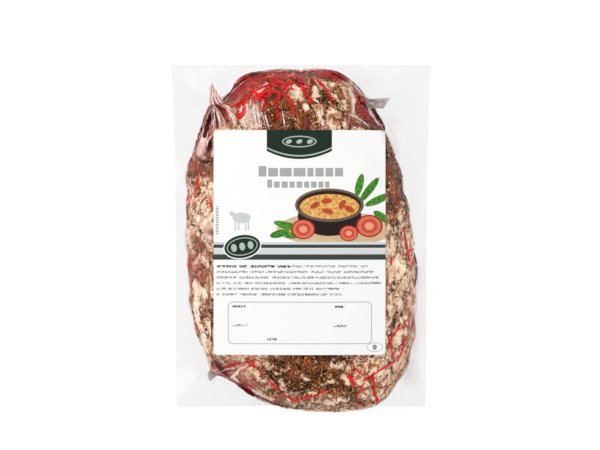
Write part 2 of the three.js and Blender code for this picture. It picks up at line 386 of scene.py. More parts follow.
# %% Spots: x, y, half width, half length, then how much fat, herbs and juice there is, from 0 to 1
PLAIN = (0.62, 0.5, 0.15)
SPOTS = [
    (-33, 83, 8, 7, 0.10, 0.45, 0.70), (-27, 71, 5, 8, 0.70, 0.15, 0.30), (-13, 72, 8, 9, 0.10, 0.75, 0.34),
    (-9, 90, 14, 3, 0.25, 0.40, 0.60), (1, 81, 6, 5, 0.60, 0.50, 0.20), (11, 90, 6, 3, 0.55, 0.65, 0.10),
    (2, 66, 5, 4, 0.15, 0.75, 0.15), (16, 82, 6, 5, 0.50, 0.65, 0.10), (22, 76, 7, 6, 0.60, 0.60, 0.10),
    (12, 69, 5, 4, 0.50, 0.55, 0.15), (19, 92, 7, 3, 0.10, 0.10, 0.90), (34, 79, 4, 7, 0.25, 0.15, 0.60),
    (27, 66, 8, 4, 0.35, 0.30, 0.40), (42, 64, 3, 3, 0.00, 0.90, 0.30), (52, 41, 6, 18, 0.05, 0.80, 0.40),
    (53, 15, 6, 7, 0.42, 0.50, 0.25), (57, -4, 7, 8, 0.90, 0.36, 0.12), (55, -23, 8, 10, 0.85, 0.45, 0.05),
    (54, -41, 8, 7, 0.80, 0.50, 0.10), (55, -60, 8, 9, 0.75, 0.40, 0.25), (63, -34, 2, 28, 0.50, 0.35, 0.20),
    (-58, 40, 7, 5, 0.05, 0.75, 0.50), (-59, 27, 4, 7, 0.85, 0.30, 0.30), (-57, 13, 4, 7, 0.80, 0.35, 0.25),
    (-59, -4, 4, 7, 0.45, 0.30, 0.40), (-52, 0, 3, 10, 0.50, 0.15, 0.20), (-55, -20, 5, 4, 0.32, 0.65, 0.15),
    (-56, -29, 4, 4, 0.55, 0.55, 0.10), (-57, -43, 4, 8, 0.50, 0.55, 0.12),
    (-53, -60, 4, 7, 0.75, 0.40, 0.15),
    (-62, -34, 2, 22, 0.35, 0.30, 0.40), (-41, -73, 9, 7, 0.55, 0.15, 0.45),
    (-27, -75, 6, 7, 0.90, 0.20, 0.30),
    (-16, -69, 6, 4, 0.75, 0.50, 0.10), (-1, -74, 12, 9, 0.05, 0.95, 0.15), (19, -76, 8, 8, 0.15, 0.88, 0.10),
    (-22, -84, 6, 3, 0.60, 0.45, 0.30), (-6, -89, 11, 3, 0.55, 0.40, 0.30), (13, -90, 9, 4, 0.75, 0.60, 0.05),
    (29, -75, 5, 7, 0.85, 0.30, 0.20), (41, -82, 8, 7, 0.80, 0.40, 0.20), (53, -76, 6, 7, 0.75, 0.40, 0.20),
    (-54, 66, 4, 10, 0.30, 0.10, 0.70), (-44, 71, 4, 7, 0.50, 0.00, 0.50), (-56, 51, 3, 6, 0.70, 0.00, 0.35),
]
PLAIN_WEIGHT, SPOT_SPREAD = 0.12, 0.75
SPOTS_START_Z, SPOTS_FULL_Z = 22, 34


def spotted(points):
    """Columns of fat, herbs and juice for points in millimetres."""
    x, y, z = points.T
    weights = np.full(len(points), PLAIN_WEIGHT)
    totals = np.outer(weights, PLAIN)
    for at_x, at_y, half_width, half_length, *shares in SPOTS:
        weight = bell(np.hypot((x - at_x) / half_width, (y - at_y) / half_length), SPOT_SPREAD)
        weights = weights + weight
        totals = totals + np.outer(weight, shares)
    seen = soft_step(z, SPOTS_START_Z, SPOTS_FULL_Z)[:, None]
    return totals / weights[:, None] * seen + np.array(PLAIN) * (1 - seen)


def off_route(x, y, route):
    """How far points are from a route in plan."""
    return np.min([from_line(x, y, start, end)[1] for start, end in zip(route, route[1:])], axis=0)


# %% [markdown]
# Some forms are big enough to be known one by one: smooth rolls of white fat, balls of lean, and clumps of
# herbs. Each is a short route in plan with a half width. It lifts the meat, and has fat, herbs and juice of
# its own. Fat over 1 stands for firm white fat. Noise frays the forms' edges, and breaks the clumps of
# herbs up with gaps.

# %% Big forms: route, half width, height, then fat, herbs and juice
FORMS = [
    ([(-52, 3.6), (-52, -5.9)], 2.8, 0.9, 0.5, 0.1, 0.25),
    ([(-54.4, 8.2), (-50.4, 13.7)], 1.5, 0.7, 1.3, 0.0, 0.1),
    ([(-58.4, 11.9), (-58, 11)], 1.7, 0.5, 1.5, 0.0, 0.0),
    ([(-54.2, 14.2), (-53.6, 14)], 1.7, 0.6, 0.5, 0.0, 0.0),
    ([(-55.9, -19.4), (-55.9, -22.2)], 2.7, 0.8, 0.3, 0.1, 0.1),
    ([(-64, 3.6), (-63.3, -6)], 1.4, 0.3, 1.1, 0.0, 0.1),
    ([(-63.6, -7), (-62.2, -16)], 1.3, 0.2, 0.5, 0.1, 0.7),
    ([(-56.9, 4.7), (-56.9, -3.7)], 2.2, 0.3, 0.45, 0.5, 0.0),
    ([(-60.7, -3.7), (-60.7, -6)], 0.7, -0.6, 0.0, 1.3, 0.0),
    ([(-49.6, 26), (-50.2, 20)], 1.4, 0.6, 0.9, 0.1, 0.5),
    ([(-60.1, -25.8), (-59, -29.8), (-59.8, -40.8), (-58.4, -46.6), (-56.1, -51)], 1.7, 1.0, 1.4, 0.0, 0.0),
    ([(-55.3, -29.1), (-55.2, -32.5)], 1.3, 0.6, 1.4, 0.0, 0.0),
    ([(-54, -45.5), (-49.7, -54.3)], 1.1, 0.6, 1.2, 0.0, 0.2),
    ([(-55.2, -54.7), (-55.8, -59.6), (-54.1, -63.9)], 1.6, 0.9, 1.4, 0.0, 0.0),
    ([(-53.9, -37), (-53.9, -42)], 2.3, 0.3, 0.35, 0.35, 0.1),
    ([(-49.9, -38), (-49.9, -46.3)], 0.8, -0.7, 0.0, 0.6, 1.1),
    ([(-59, -35.1), (-54.3, -34.5)], 0.8, -0.2, 0.4, 0.0, 1.0),
    ([(50.6, -15.5), (55.1, -13.8)], 2.6, 0.8, 1.15, 0.2, 0.0),
    ([(57.2, -13.3), (57.2, -17.8)], 1.6, 0.7, 1.2, 0.2, 0.0),
    ([(55.8, -34.7), (55.8, -38.7)], 2.1, 0.8, 1.1, 0.3, 0.0),
    ([(49.9, -37.4), (49.9, -42.4)], 1.6, 0.7, 1.1, 0.3, 0.0),
    ([(56.7, -44.9), (57.5, -46)], 1.2, 0.5, 1.2, 0.2, 0.0),
    ([(55.2, -52.2), (55.2, -57.9)], 2.4, 0.7, 1.0, 0.3, 0.0),
    ([(62.6, -33), (63.1, -41)], 0.9, 0.2, 1.0, 0.0, 0.3),
    ([(17.9, -69.9), (22.4, -70.5)], 2.2, 0.8, 1.1, 0.3, 0.0),
    ([(40.4, -75.5), (48.3, -75.5)], 2.8, 0.8, 1.15, 0.3, 0.0),
    ([(32, -80.6), (37, -81.9)], 2.0, 0.8, 1.1, 0.3, 0.1),
    ([(6.2, -92), (14, -92.6)], 1.4, 0.4, 1.1, 0.4, 0.0),
    ([(17, -92), (25.9, -91.6)], 1.8, 0.4, 1.1, 0.4, 0.0),
    ([(-24.5, -77.5), (-21, -79.5)], 1.6, 0.6, 1.2, 0.1, 0.0),
    ([(-6.2, -82.8), (-2.7, -83.4)], 2.4, 0.2, 0.0, 1.1, 0.7),
    ([(-21.3, -76.5), (-20.2, -76.5)], 1.4, 0.4, 0.0, 1.4, 0.0),
    ([(-18.6, -86.9), (-11.9, -87.5)], 1.1, 0.2, 0.0, 1.4, 0.0),
    ([(12.9, -76.1), (20.2, -77.2)], 1.5, 0.5, 0.0, 1.4, 0.0),
    ([(5.6, -81.2), (8.9, -81.7)], 1.5, 0.4, 0.0, 1.4, 0.0),
    ([(28.9, -84.5), (31.6, -90.5)], 1.6, 0.3, 0.0, 1.3, 0.3),
    ([(21.5, -84), (24.5, -87)], 1.7, 0.4, 0.1, 1.2, 0.0),
    ([(-20.8, -70), (-16, -71)], 2.2, 0.4, 0.8, 0.5, 0.0),
    ([(-13, -75), (-9, -71.5)], 1.7, 0.4, 0.8, 0.5, 0.0),
    ([(-3.4, -70.5), (1.5, -68.5)], 1.2, 0.3, 0.0, 1.4, 0.0),
    ([(8, -67.5), (13, -68)], 1.8, 0.3, 0.0, 1.4, 0.1),
    ([(-13.5, -68), (-10.5, -69.5)], 1.4, 0.3, 0.0, 1.3, 0.1),
    ([(-12, -80), (-9.5, -84)], 1.5, 0.4, 0.9, 0.3, 0.0), ([(0.5, -76.5), (3, -79)], 1.1, 0.5, 0.9, 0.4, 0.0),
    ([(2, -87), (7.5, -87)], 1.2, 0.4, 0.9, 0.4, 0.0), ([(13, -81.5), (18.5, -80)], 1.2, 0.4, 0.8, 0.5, 0.0),
    ([(-15.5, -78.5), (-13.5, -82)], 0.9, 0.3, 0.0, 1.2, 0.3),
    ([(23, -77.5), (26, -81)], 1.5, 0.5, 0.9, 0.3, 0.1),
    ([(33.5, -70.5), (36, -74.5)], 1.3, 0.4, 0.5, 0.5, 0.4),
    ([(-30, -72), (-27, -75.5)], 1.3, 0.4, 1.1, 0.1, 0.1),
    ([(-33.5, -79.5), (-27, -84)], 1.0, 0.4, 1.1, 0.1, 0.1),
    ([(46, -83), (50, -78)], 1.7, 0.5, 1.0, 0.3, 0.1), ([(36.5, -87), (39, -86)], 1.4, 0.4, 0.9, 0.5, 0.1),
    ([(-1.5, 84.5), (-0.6, 79.5)], 2.3, 0.8, 1.05, 0.1, 0.0),
    ([(7.3, 84.5), (8.2, 80.5)], 2.2, 0.9, 1.2, 0.0, 0.0),
    ([(2.8, 74.2), (4, 72.8)], 1.9, 0.9, 1.5, 0.0, 0.0), ([(8.6, 71), (11.3, 64.5)], 0.9, 0.6, 1.2, 0.0, 0.1),
    ([(3.6, 85), (3.3, 79.5)], 1.1, -0.4, 0.0, 0.9, 0.4), ([(-1.5, 76), (0.5, 70)], 1.4, -0.2, 0.0, 1.1, 0.2),
    ([(5, 77.3), (10, 76.3)], 1.2, 0.3, 0.7, 0.6, 0.1), ([(12.5, 77), (15, 73)], 1.6, 0.4, 0.1, 1.3, 0.0),
    ([(16, 72), (18.5, 69)], 1.5, 0.4, 0.9, 0.4, 0.0), ([(11.5, 88.5), (18, 87)], 1.3, 0.4, 0.9, 0.4, 0.0),
    ([(11.5, 84), (13.5, 79)], 1.0, -0.3, 0.0, 1.2, 0.0),
    ([(17.5, 82), (20.5, 80.5)], 1.3, 0.4, 0.9, 0.5, 0.0),
    ([(23.5, 77.5), (25, 73.5)], 1.2, 0.4, 0.9, 0.4, 0.1), ([(5.5, 70), (7, 65)], 1.4, 0.2, 0.0, 1.2, 0.1),
    ([(19, 76.5), (21, 73)], 0.9, -0.2, 0.0, 1.2, 0.0),
    ([(-24.5, 83.5), (-19, 86.5)], 1.8, 0.4, 1.1, 0.6, 0.0),
    ([(-25.7, -87.7), (-16.6, -92)], 1.5, 0.5, 1.3, 0.0, 0.1),
]
FORM_EDGE, SLIM, FIRMEST, FIRM_FRAYS = 0.5, 1.5, 1.9, 0.5
FRAYS = [(2.4, 2.6, 31), (1.8, 1.1, 17)]  # how far an edge frays, the size of its teeth, and the noise's seed
GAP_SIZE, GAP_SEED, GAP_EMPTY, GAP_FULL = 1.5, 23, -0.34, -0.14


def formed(points, shares):
    """The big forms' height at points, their crowns and outlines, and the shares with the forms' own."""
    x, y, z = points.T
    seen = soft_step(z, SPOTS_START_Z, SPOTS_FULL_Z)
    height, crown, outline = np.zeros((3, len(points)))
    ragged = sum(far * rough_at(points, size, seed) for far, size, seed in FRAYS)
    whole = soft_step(rough_at(points, GAP_SIZE, GAP_SEED), GAP_EMPTY, GAP_FULL)
    for route, half_width, up, *own in FORMS:
        is_firm = own[0] > own[1]
        frayed = ragged * min(1, half_width / SLIM) * max(FIRM_FRAYS, min(1, FIRMEST - own[0]))
        off = np.maximum(0, off_route(x, y, route) + frayed)
        inside = soft_step(off, half_width + FORM_EDGE, half_width - FORM_EDGE) * seen
        inside = inside if is_firm else inside * whole
        shares = shares * (1 - inside[:, None]) + np.outer(inside, own)
        rounded = np.clip(1 - (off / (half_width + FORM_EDGE)) ** 2, 0, 1) * seen
        height = height * (1 - inside) + up * np.sqrt(rounded)
        crown = crown * (1 - inside) + rounded
        outline = outline * (1 - inside) + bell(off - half_width - FORM_EDGE, FORM_EDGE) * seen
    return height, np.minimum(crown, 1), np.minimum(outline, 1), shares


# %% [markdown]
# ## The net's routes
# The elastic net has bright red strands. On top it is loose and loops about on the meat, and lower down it
# cuts in. The loose strands are routes drawn in plan, which also press a groove in the meat.

# %% Strands seen from above: routes in plan, with the strand's width
STRANDS = [
    ([(-28.3, 79.1), (-23.6, 80.5), (-17.4, 82.5), (-12.7, 81.4), (-11.3, 78.8), (-13.5, 76.5), (-15.2, 75.8),
      (-13.3, 73.1), (-13.3, 69.2), (-14.1, 65.7)], 1.3),
    ([(-28.3, 79.7), (-24.8, 78.8), (-20.5, 76.6), (-19.6, 74.7), (-21.7, 71.9), (-24.4, 68.6)], 1.3),
    ([(-11.1, 86.4), (-6.9, 82.5), (-9.4, 79.7), (-6.1, 78), (-4.5, 73.5), (-4.3, 69.2), (-2.4, 66.1)], 1.2),
    ([(-0.6, 85.2), (2.9, 80.9), (6, 76.2), (7.7, 74.7)], 1.8),
    ([(5.2, 89.4), (10.7, 86.9), (14.2, 83.4), (16.2, 79.1), (19.3, 76)], 1.2),
    ([(-41.8, 74.3), (-34.7, 74.6), (-28.5, 79.8), (-24.9, 82.9), (-20.6, 84.9), (-13.6, 88)], 1.1),
    ([(-38.9, 80.7), (-34.2, 84.6), (-29.4, 87.8), (-23.9, 89.7),
      (-12.9, 90.3), (-1, 90.8), (2.9, 87.4)], 1.0),
    ([(-24.1, 92.3), (-12.9, 93.5), (-1, 94.3), (10.9, 95.1)], 0.7),
    ([(-34.5, 67.2), (-32.6, 69.2), (-30.4, 71.4)], 2.6),
    ([(-22.4, 72.3), (-20.9, 74.3)], 1.1),
    ([(-7.5, 88.3), (-9.2, 85.3), (-11.1, 80.2)], 1.0),
    ([(56.3, 8.1), (57.9, 3.9), (58.4, -0.3), (59.1, -4.5), (59.1, -8.2), (60.7, -11.9), (61.7, -14.3)], 1.1),
    ([(63.2, -5.9), (59.2, -8.2), (56.2, -10.1)], 1.0),
    ([(50, -8.1), (50, -13.6), (50.2, -16.8)], 0.9),
    ([(57.8, -47.2), (58.7, -51)], 1.0),
    ([(47.4, -61.3), (50.1, -55.1), (54.2, -49.9), (58.4, -46.2)], 1.0),
    ([(-29.6, -65.4), (-27.5, -68.2), (-25, -71.6)], 1.7),
    ([(-25.5, -70.5), (-22.6, -74.2), (-19.6, -77.6)], 0.7),
    ([(-19.6, -77.4), (-15.1, -82), (-11, -86)], 1.1),
    ([(-11.4, -85.5), (-7.3, -88.7), (-3.5, -90.9), (0.5, -92.4)], 0.9),
    ([(-5.3, -91.7), (2.7, -89), (11.7, -86.3), (14.8, -82.7)], 1.0),
    ([(0.9, -64.7), (4.6, -69.9)], 1.2),
    ([(25.9, -73.3), (28.1, -78.7), (29.9, -84)], 1.6), ([(29.4, -83), (31.4, -89.4), (32.6, -92.9)], 1.0),
    ([(52.1, -68.9), (45.5, -72.4), (38.3, -76.5), (33, -80.5)], 1.0),
    ([(39.2, -73.8), (40.6, -80.5), (41.5, -86.7), (42.1, -90.3)], 1.3),
    ([(47.4, -51.3), (50.1, -61.1), (52.3, -69.2)], 1.0),
    ([(57.6, -53.4), (56.7, -62.4), (53.1, -69.6)], 1.1),
    ([(-38.2, -76.7), (-31.9, -72.3), (-25.7, -70.1)], 0.5),
    ([(14.4, -82.7), (16.6, -85.4), (19.3, -87.2)], 0.9),
    ([(-57.1, 35.9), (-58, 32.1), (-58.2, 27.8), (-59.3, 25.2), (-57.1, 23.1)], 1.0),
    ([(-64.2, 29.8), (-63.9, 26.3)], 0.9),
    ([(-51.1, 21.2), (-50.3, 19.9), (-49.4, 15.7)], 1.0),
    ([(-45, -73.5), (-38, -70), (-30, -68.6), (-26, -69)], 0.6),
    ([(-44, -75), (-36, -73), (-29, -71.5)], 0.5),
    ([(-27, -66), (-23, -68), (-20, -71)], 0.6), ([(-32, -67.5), (-27, -71), (-25, -74)], 0.5),
    ([(33, -68), (36, -72), (34.5, -77)], 0.6), ([(27.5, -69), (33, -75), (37, -76.5)], 0.6),
    ([(36.5, -79), (33, -84), (31.5, -88)], 0.6), ([(-2, 88.5), (3, 86), (8, 83)], 0.9),
    ([(-17, 86), (-12, 84.5), (-6, 86.5), (0, 88)], 0.9), ([(-36, 78.5), (-30, 81), (-24, 86)], 0.9),
    ([(-40.5, 77.5), (-34, 82), (-27, 86.2), (-20, 88.2)], 1.2),
    ([(-37, 71.5), (-31.5, 75.5), (-26, 77.4), (-21, 80.5)], 1.3),
    ([(-31, 90.5), (-22, 91), (-14, 89), (-8, 86)], 1.0), ([(-34, 71.5), (-29, 73.5), (-25.5, 76.5)], 1.3),
    ([(-28, 76), (-22, 79.5), (-17.5, 84.5), (-13, 88.5), (-9, 91)], 1.0),
    ([(-21, 86), (-18, 83.5), (-16.5, 79)], 0.9),
    ([(-31, 84.5), (-26, 81.5), (-20.5, 79), (-15.5, 79.5)], 1.1),
    ([(-8, 91.5), (-5, 88), (-6, 84.5), (-3, 81)], 0.9),
]
KNOTS, KNOT_RADIUS, KNOT_SHAPE = [(33.2, -93), (42.8, -90.4)], 1.5, (0.8, 1.1, 0.6)
GROOVE_DEPTH, GROOVE_WIDTH = 0.7, 1.1


def grooves_at(x, y, z):
    """How far the loose strands press in."""
    depth = sum(bell(off_route(x, y, route), GROOVE_WIDTH) for route, _ in STRANDS)
    return GROOVE_DEPTH * np.minimum(depth, 1) * soft_step(z, SPOTS_START_Z, SPOTS_FULL_Z)


# %% [markdown]
# ## The meat
# The film lies tight on the roast, so the meat is the same surface a little further in. Boned meat is
# lumpy: soft folds of fat and muscle a few millimetres high, and finer fibres on them. The lumps are real
# relief in the mesh, and the fibres come later from the finish's bump.

# %% The meat's mesh
MEAT_COLUMNS, MEAT_ROWS = 500, 196
MEAT_INSET, RIM_INSET = 1.2, 0.45
RIM_Z, RIM_SPREAD, RIM_JUICE, RIM_CALM = 31, 11, 0.3, 0.85
LUMP_SIZE, LUMP_WARP, WARP_SIZE, CREASE_WIDTH, LUMP_MEAN = 5.5, 0.5, 1.3, 0.42, 0.7
CALM_SIZE, CALM_SEED, CALM_FROM, CALM_TO = 7, 11, -0.02, 0.2
KNOBS = [(0.7, 3.2, 5), (0.5, 1.7, 9)]  # height, size and the noise's seed
TABLE_FROM, TABLE_TO, LABEL_CALM, THINNEST = 0.5, 6, 0.7, 0.25
FORM_FULL, FORM_PLUMP, FORM_CROWN_SHADING, FORM_CALM = 2.5, 0.6, 0.4, 0.8
FORM_LIFT, OUTLINE_DEPTH, OUTLINE_SHADE = 0.9, 0.7, 0.5
HEAD_Y, FOOT_Y, HEAD_HALF_WIDTH, FOOT_HALF_WIDTH, WAIST = 99.6, -97.4, 74.8, 71.8, 1.2
CORNERS = [
    (HEAD_HALF_WIDTH, 0), (HEAD_HALF_WIDTH, HEAD_Y), (-HEAD_HALF_WIDTH, HEAD_Y),
    (-FOOT_HALF_WIDTH, FOOT_Y), (FOOT_HALF_WIDTH, FOOT_Y), (FOOT_HALF_WIDTH, 0),
]
SIDE_SHARES = [16, 24, 32, 24, 16]
WAIST_HALF_WIDTH = (HEAD_HALF_WIDTH + FOOT_HALF_WIDTH) / 2 - WAIST


def margin_edge(columns):
    """Points evenly along the pouch's edge, anticlockwise from the middle of its right side."""
    places = np.arange(columns) / columns * sum(SIDE_SHARES)
    starts = np.cumsum([0, *SIDE_SHARES])
    side = np.searchsorted(starts, places, side="right") - 1
    share = (places - starts[side]) / np.array(SIDE_SHARES)[side]
    corners = np.array(CORNERS, float)
    x, y = (corners[side] + (corners[side + 1] - corners[side]) * share[:, None]).T
    along = np.where(y > 0, y / HEAD_Y, y / FOOT_Y)
    corner = np.where(y > 0, HEAD_HALF_WIDTH, FOOT_HALF_WIDTH)
    waisted = np.sign(x) * (WAIST_HALF_WIDTH + (corner - WAIST_HALF_WIDTH) * along**2)
    return np.where(side % 2 == 0, waisted, x), y


def meat_points():
    bearing = bearing_of(*margin_edge(MEAT_COLUMNS))
    tilts = np.linspace(90, -90, MEAT_ROWS)
    return np.stack([roast_point(bearing, np.full_like(bearing, tilt)) for tilt in tilts])


def on_mesh(mesh):
    return np.array([vertex.co for vertex in mesh.verts])


def plump_at(points):
    """1 in the middle of a lump of meat and 0 in the creases between lumps."""
    plump = []
    for point in points.tolist():
        place = Vector(point) / LUMP_SIZE
        place += LUMP_WARP * noise.noise_vector(place * WARP_SIZE)
        near, next_near = noise.voronoi(place)[0][:2]
        plump.append(next_near - near)
    return soft_step(np.array(plump), 0.0, CREASE_WIDTH)


meat_mesh, _ = lay_on_sphere(meat_points())
places = on_mesh(meat_mesh)
calm = soft_step(rough_at(places, CALM_SIZE, CALM_SEED), CALM_FROM, CALM_TO)
plump = np.maximum(plump_at(places), calm)
lumps = plump - LUMP_MEAN
for up, size, seed in KNOBS:
    lumps = lumps + up * rough_at(places, size, seed)
pressed = soft_step(places[:, 2], TABLE_FROM, TABLE_TO) * (1 - LABEL_CALM * label_bed(*places.T[:2]))
height, crown, outline, shares = formed(places, spotted(places))
fat_share, herb_share, juice_share = shares.T
is_form = np.minimum(np.abs(height) * FORM_FULL, 1)
# In the big forms plump follows the crown and falls at the outline, so the finish paints them paler on top
# and darker round the edge: painted light and shade of a rounded form.
plump = (plump * (1 - is_form) + (FORM_PLUMP + FORM_CROWN_SHADING * crown) * is_form) * (1 - OUTLINE_SHADE * outline)
lumps = lumps * (1 - FORM_CALM * is_form) + height * FORM_LIFT - outline * OUTLINE_DEPTH
rim = bell(places[:, 2] - RIM_Z, RIM_SPREAD)
inset = MEAT_INSET + (RIM_INSET - MEAT_INSET) * rim
relief = np.minimum(lumps * pressed * (1 - RIM_CALM * rim), inset - THINNEST)
lift(meat_mesh, relief - grooves_at(*places.T) - inset)
for vertex in meat_mesh.verts:
    vertex.co.z = max(vertex.co.z, TABLE_FROM)
paint(meat_mesh, "fat", fat_share)
paint(meat_mesh, "herbs", herb_share)
paint(meat_mesh, "juice", juice_share + RIM_JUICE * rim)
paint(meat_mesh, "plump", plump)
meat_tree = BVHTree.FromBMesh(meat_mesh)
print("meat: mean plumpness", round(float(plump.mean()), 2))


# %% [markdown]
# Raw lamb is not one colour. The finish starts from lean and fat, with an edge between them that noise
# makes ragged, and fine cream threads in the lean. Marinade stains it brown where the herbs are thick, and
# juice turns it crimson under the film. The creases between lumps are darker, with herbs and painted
# shade. A clear coat makes it wet.

# %% The meat's finish
LEAN, DARK_LEAN = srgb(168, 82, 60), srgb(104, 42, 34)
FAT, PINK_FAT, WHITE_FAT = srgb(242, 224, 198), srgb(206, 144, 110), srgb(242, 238, 222)
STAINED_FAT, SPECK, ROSE_FAT = srgb(160, 108, 64), srgb(152, 92, 44), srgb(230, 178, 154)
MARINADE, FLECK, CRUST = srgb(112, 62, 42), srgb(122, 70, 36), srgb(46, 24, 14)
CRIMSON, DEEP_CRIMSON, CREVICE_HERBS_AND_SHADE = srgb(196, 34, 36), srgb(122, 16, 24), srgb(104, 46, 28)


def meat_shader(start):
    where = start.place()
    fat, herbs, juice, plump = start.painted("fat", "herbs", "juice", "plump")
    fibres = where.stretched(1, 0.35, 1)
    regions = where.noise(85, 3, 0.6)
    blotches = where.noise(210, 4, 0.65)
    threads = fibres.noise(600, 4, 0.65)
    grain = where.noise(1400, 2, 0.6)
    lean = (regions + blotches - 0.5).smooth(0.35, 0.65).mix(DARK_LEAN, LEAN)
    # Plump makes the middle of each lump cream and its edges pink: painted shade of the rounded lump, on top
    # of the fat's own pink and cream.
    lard = (fibres.noise(170, 4, 0.6) + (plump - 0.5) * 0.45).smooth(0.34, 0.62).mix(PINK_FAT, FAT)
    lard = (where.noise(140, 3, 0.6).smooth(0.5, 0.66) * 0.6).mix(lard, ROSE_FAT)
    paleness = fat + (regions - 0.5) * 0.9 + (blotches - 0.5) * 1.1 + (threads - 0.5) * 0.9
    base = paleness.smooth(0.3, 0.6).mix(lean, lard)
    whiteness = fat + (threads - 0.5) * 1.4 + (blotches - 0.5) * 1.0
    base = (whiteness.smooth(0.9, 1.6) * 0.9).mix(base, WHITE_FAT)
    streaks = where.stretched(1.2, 0.35, 1).noise(330, 4, 0.6)
    base = (streaks.smooth(0.52, 0.7) * ((1.6 - fat).smooth(0.0, 0.8) * 0.6 + 0.15)).mix(base, STAINED_FAT)
    specks = where.noise(480, 2, 0.5).smooth(0.6, 0.67) * 0.55
    base = specks.mix(base, SPECK)
    stain = herbs * 0.9 + (regions - 0.5) * 0.7 + (blotches - 0.5) * 0.9
    base = (stain.smooth(0.5, 0.95) * 0.85).mix(base, MARINADE)
    flecks = herbs * 0.3 + fibres.noise(520, 3, 0.6)
    base = (flecks.smooth(0.66, 0.78) * 0.8).mix(base, FLECK)
    wet = juice + (where.noise(120, 3) - 0.5) * 0.8 + (threads - 0.5) * 0.8
    base = (wet.smooth(0.25, 1.0) * 0.8).mix(base, blotches.smooth(0.4, 0.6).mix(DEEP_CRIMSON, CRIMSON))
    crust = herbs * 0.55 + (where.noise(150, 3, 0.6) - 0.5) * 1.5 + (threads - 0.5) * 0.8
    base = (crust.smooth(0.48, 0.68) * 0.85).mix(base, CRUST)
    # Creases between lumps turn dark brown: herbs that collect there, and painted shade.
    crease_shading = plump + (blotches - 0.5) * 1.2
    base = (crease_shading.smooth(-0.05, 0.3) * 0.5 + grain.smooth(0.3, 0.5) * 0.15 + 0.35).mix(CREVICE_HERBS_AND_SHADE, base)
    relief = threads * 0.5 + blotches * 0.6 + grain * 0.12
    wet_look = {"Coat_Weight": 0.3, "Coat_Roughness": 0.15, "Coat_IOR": 1.3}
    return start.body(base, 0.5, 0.1, Normal=relief.bump(0.8), **wet_look)


meat = settle("roast_meat", meat_mesh, [finish_of("raw lamb", meat_shader)], "roast")

# %% [markdown]
# ## The net
# A strand is a thin elastic cord. A curve with a round bevel is the simplest cord that Blender makes, and
# it becomes a mesh once it lies on the meat. Each route is sampled every half millimetre and dropped
# straight down onto the meat. At both ends a strand dives into the crust of herbs.

# %% Laying strands
STRAND_STEP, DIVE_LENGTH, DIVE_DEPTH = 0.5, 3.0, 1.6
STRAND_UNEVENNESS, UNEVENNESS_SCALE, STRAND_RADIUS, STRAND_PROUD = 0.8, 0.4, 0.58, 0.3
strand_runs = []


def evenly(route, step):
    """Points at even steps along a route, rounded off at its corners."""
    route = np.array(route, float)
    for _ in range(2):
        first, last = route[:1], route[-1:]
        cut = np.stack([route[:-1] * 0.75 + route[1:] * 0.25, route[:-1] * 0.25 + route[1:] * 0.75], 1)
        route = np.concatenate([first, cut.reshape(-1, route.shape[1]), last])
    lengths = np.concatenate([[0], np.cumsum(np.linalg.norm(np.diff(route, axis=0), axis=1))])
    at = np.linspace(0, lengths[-1], max(3, int(lengths[-1] / step)))
    return np.stack([np.interp(at, lengths, column) for column in route.T], 1)


def dropped(route, trees, proud):
    """A route in plan, dropped onto the highest of some surfaces and held proud of it."""
    laid = []
    for x, y in evenly(route, STRAND_STEP):
        hits = [(hit, normal) for hit, normal in (straight_down(tree, x, y) for tree in trees) if hit]
        if hits:
            hit, normal = max(hits, key=lambda found: found[0].z)
            laid.append(hit + normal * math.copysign(proud, normal.z))
    return laid


def dive(points, normals_down):
    """Sinks both ends of a run of points."""
    ends = np.minimum(np.arange(len(points)), np.arange(len(points))[::-1]) * STRAND_STEP
    sunk = (1 - soft_step(ends, 0, DIVE_LENGTH)) * DIVE_DEPTH
    return [p + n * s for p, n, s in zip(points, normals_down, sunk.tolist())]


for route, width in STRANDS:
    laid = dropped(route, [meat_tree], width * STRAND_PROUD)
    if len(laid) > 3:
        uneven = [1 + STRAND_UNEVENNESS * noise.noise(point * UNEVENNESS_SCALE) for point in laid]
        strand_runs.append((dive(laid, [DOWN] * len(laid)), np.array(uneven) * width * STRAND_RADIUS))
print(len(strand_runs), "loose strands")

# %% [markdown]
# Round the sides and the back the net is tight. Its strands wind both ways round the long axis and cross in
# diamonds. Each is found by rays that shoot at a spine inside the roast: across the middle they turn round
# the spine, and past its ends they close over the roast's round ends like meridians.

# %% The tight net
SPINE_END, CAP_LENGTH = 60, 54
TIGHT_TOP_Z, TIGHT_HEAD_Z, TIGHT_FOOT_Z, LOOSE_HEAD_Y, LOOSE_FOOT_Y = 42, 30, 27, 66, -62
TIGHT_WIDTH, TIGHT_PROUD, SHORTEST_RUN = 1.15, 0.28, 9.0
NET_END, NET_STEP, SWAY, SWAY_LENGTH, FAR_OUT = SPINE_END + CAP_LENGTH * 0.9, STRAND_STEP * 1.6, 1.2, 15, 250


def tight_ray(along, angle):
    """The spine point and the outward direction for a place of the net."""
    past = max(0.0, abs(along) - SPINE_END) / CAP_LENGTH * math.pi / 2
    end = math.copysign(1, along)
    foot = Vector((0, max(-SPINE_END, min(SPINE_END, along)) + MIDDLE_Y, SEAM_Z))
    ring = Vector((math.cos(angle), 0, math.sin(angle)))
    return foot, ring * math.cos(past) + Vector((0, end * math.sin(past), 0))


def is_tight(point):
    """Whether the net is tight at a point: low down everywhere, and lower still at the two ends."""
    if point.y > LOOSE_HEAD_Y:
        return point.z < TIGHT_HEAD_Z
    return point.z < (TIGHT_FOOT_Z if point.y < LOOSE_FOOT_Y else TIGHT_TOP_Z)


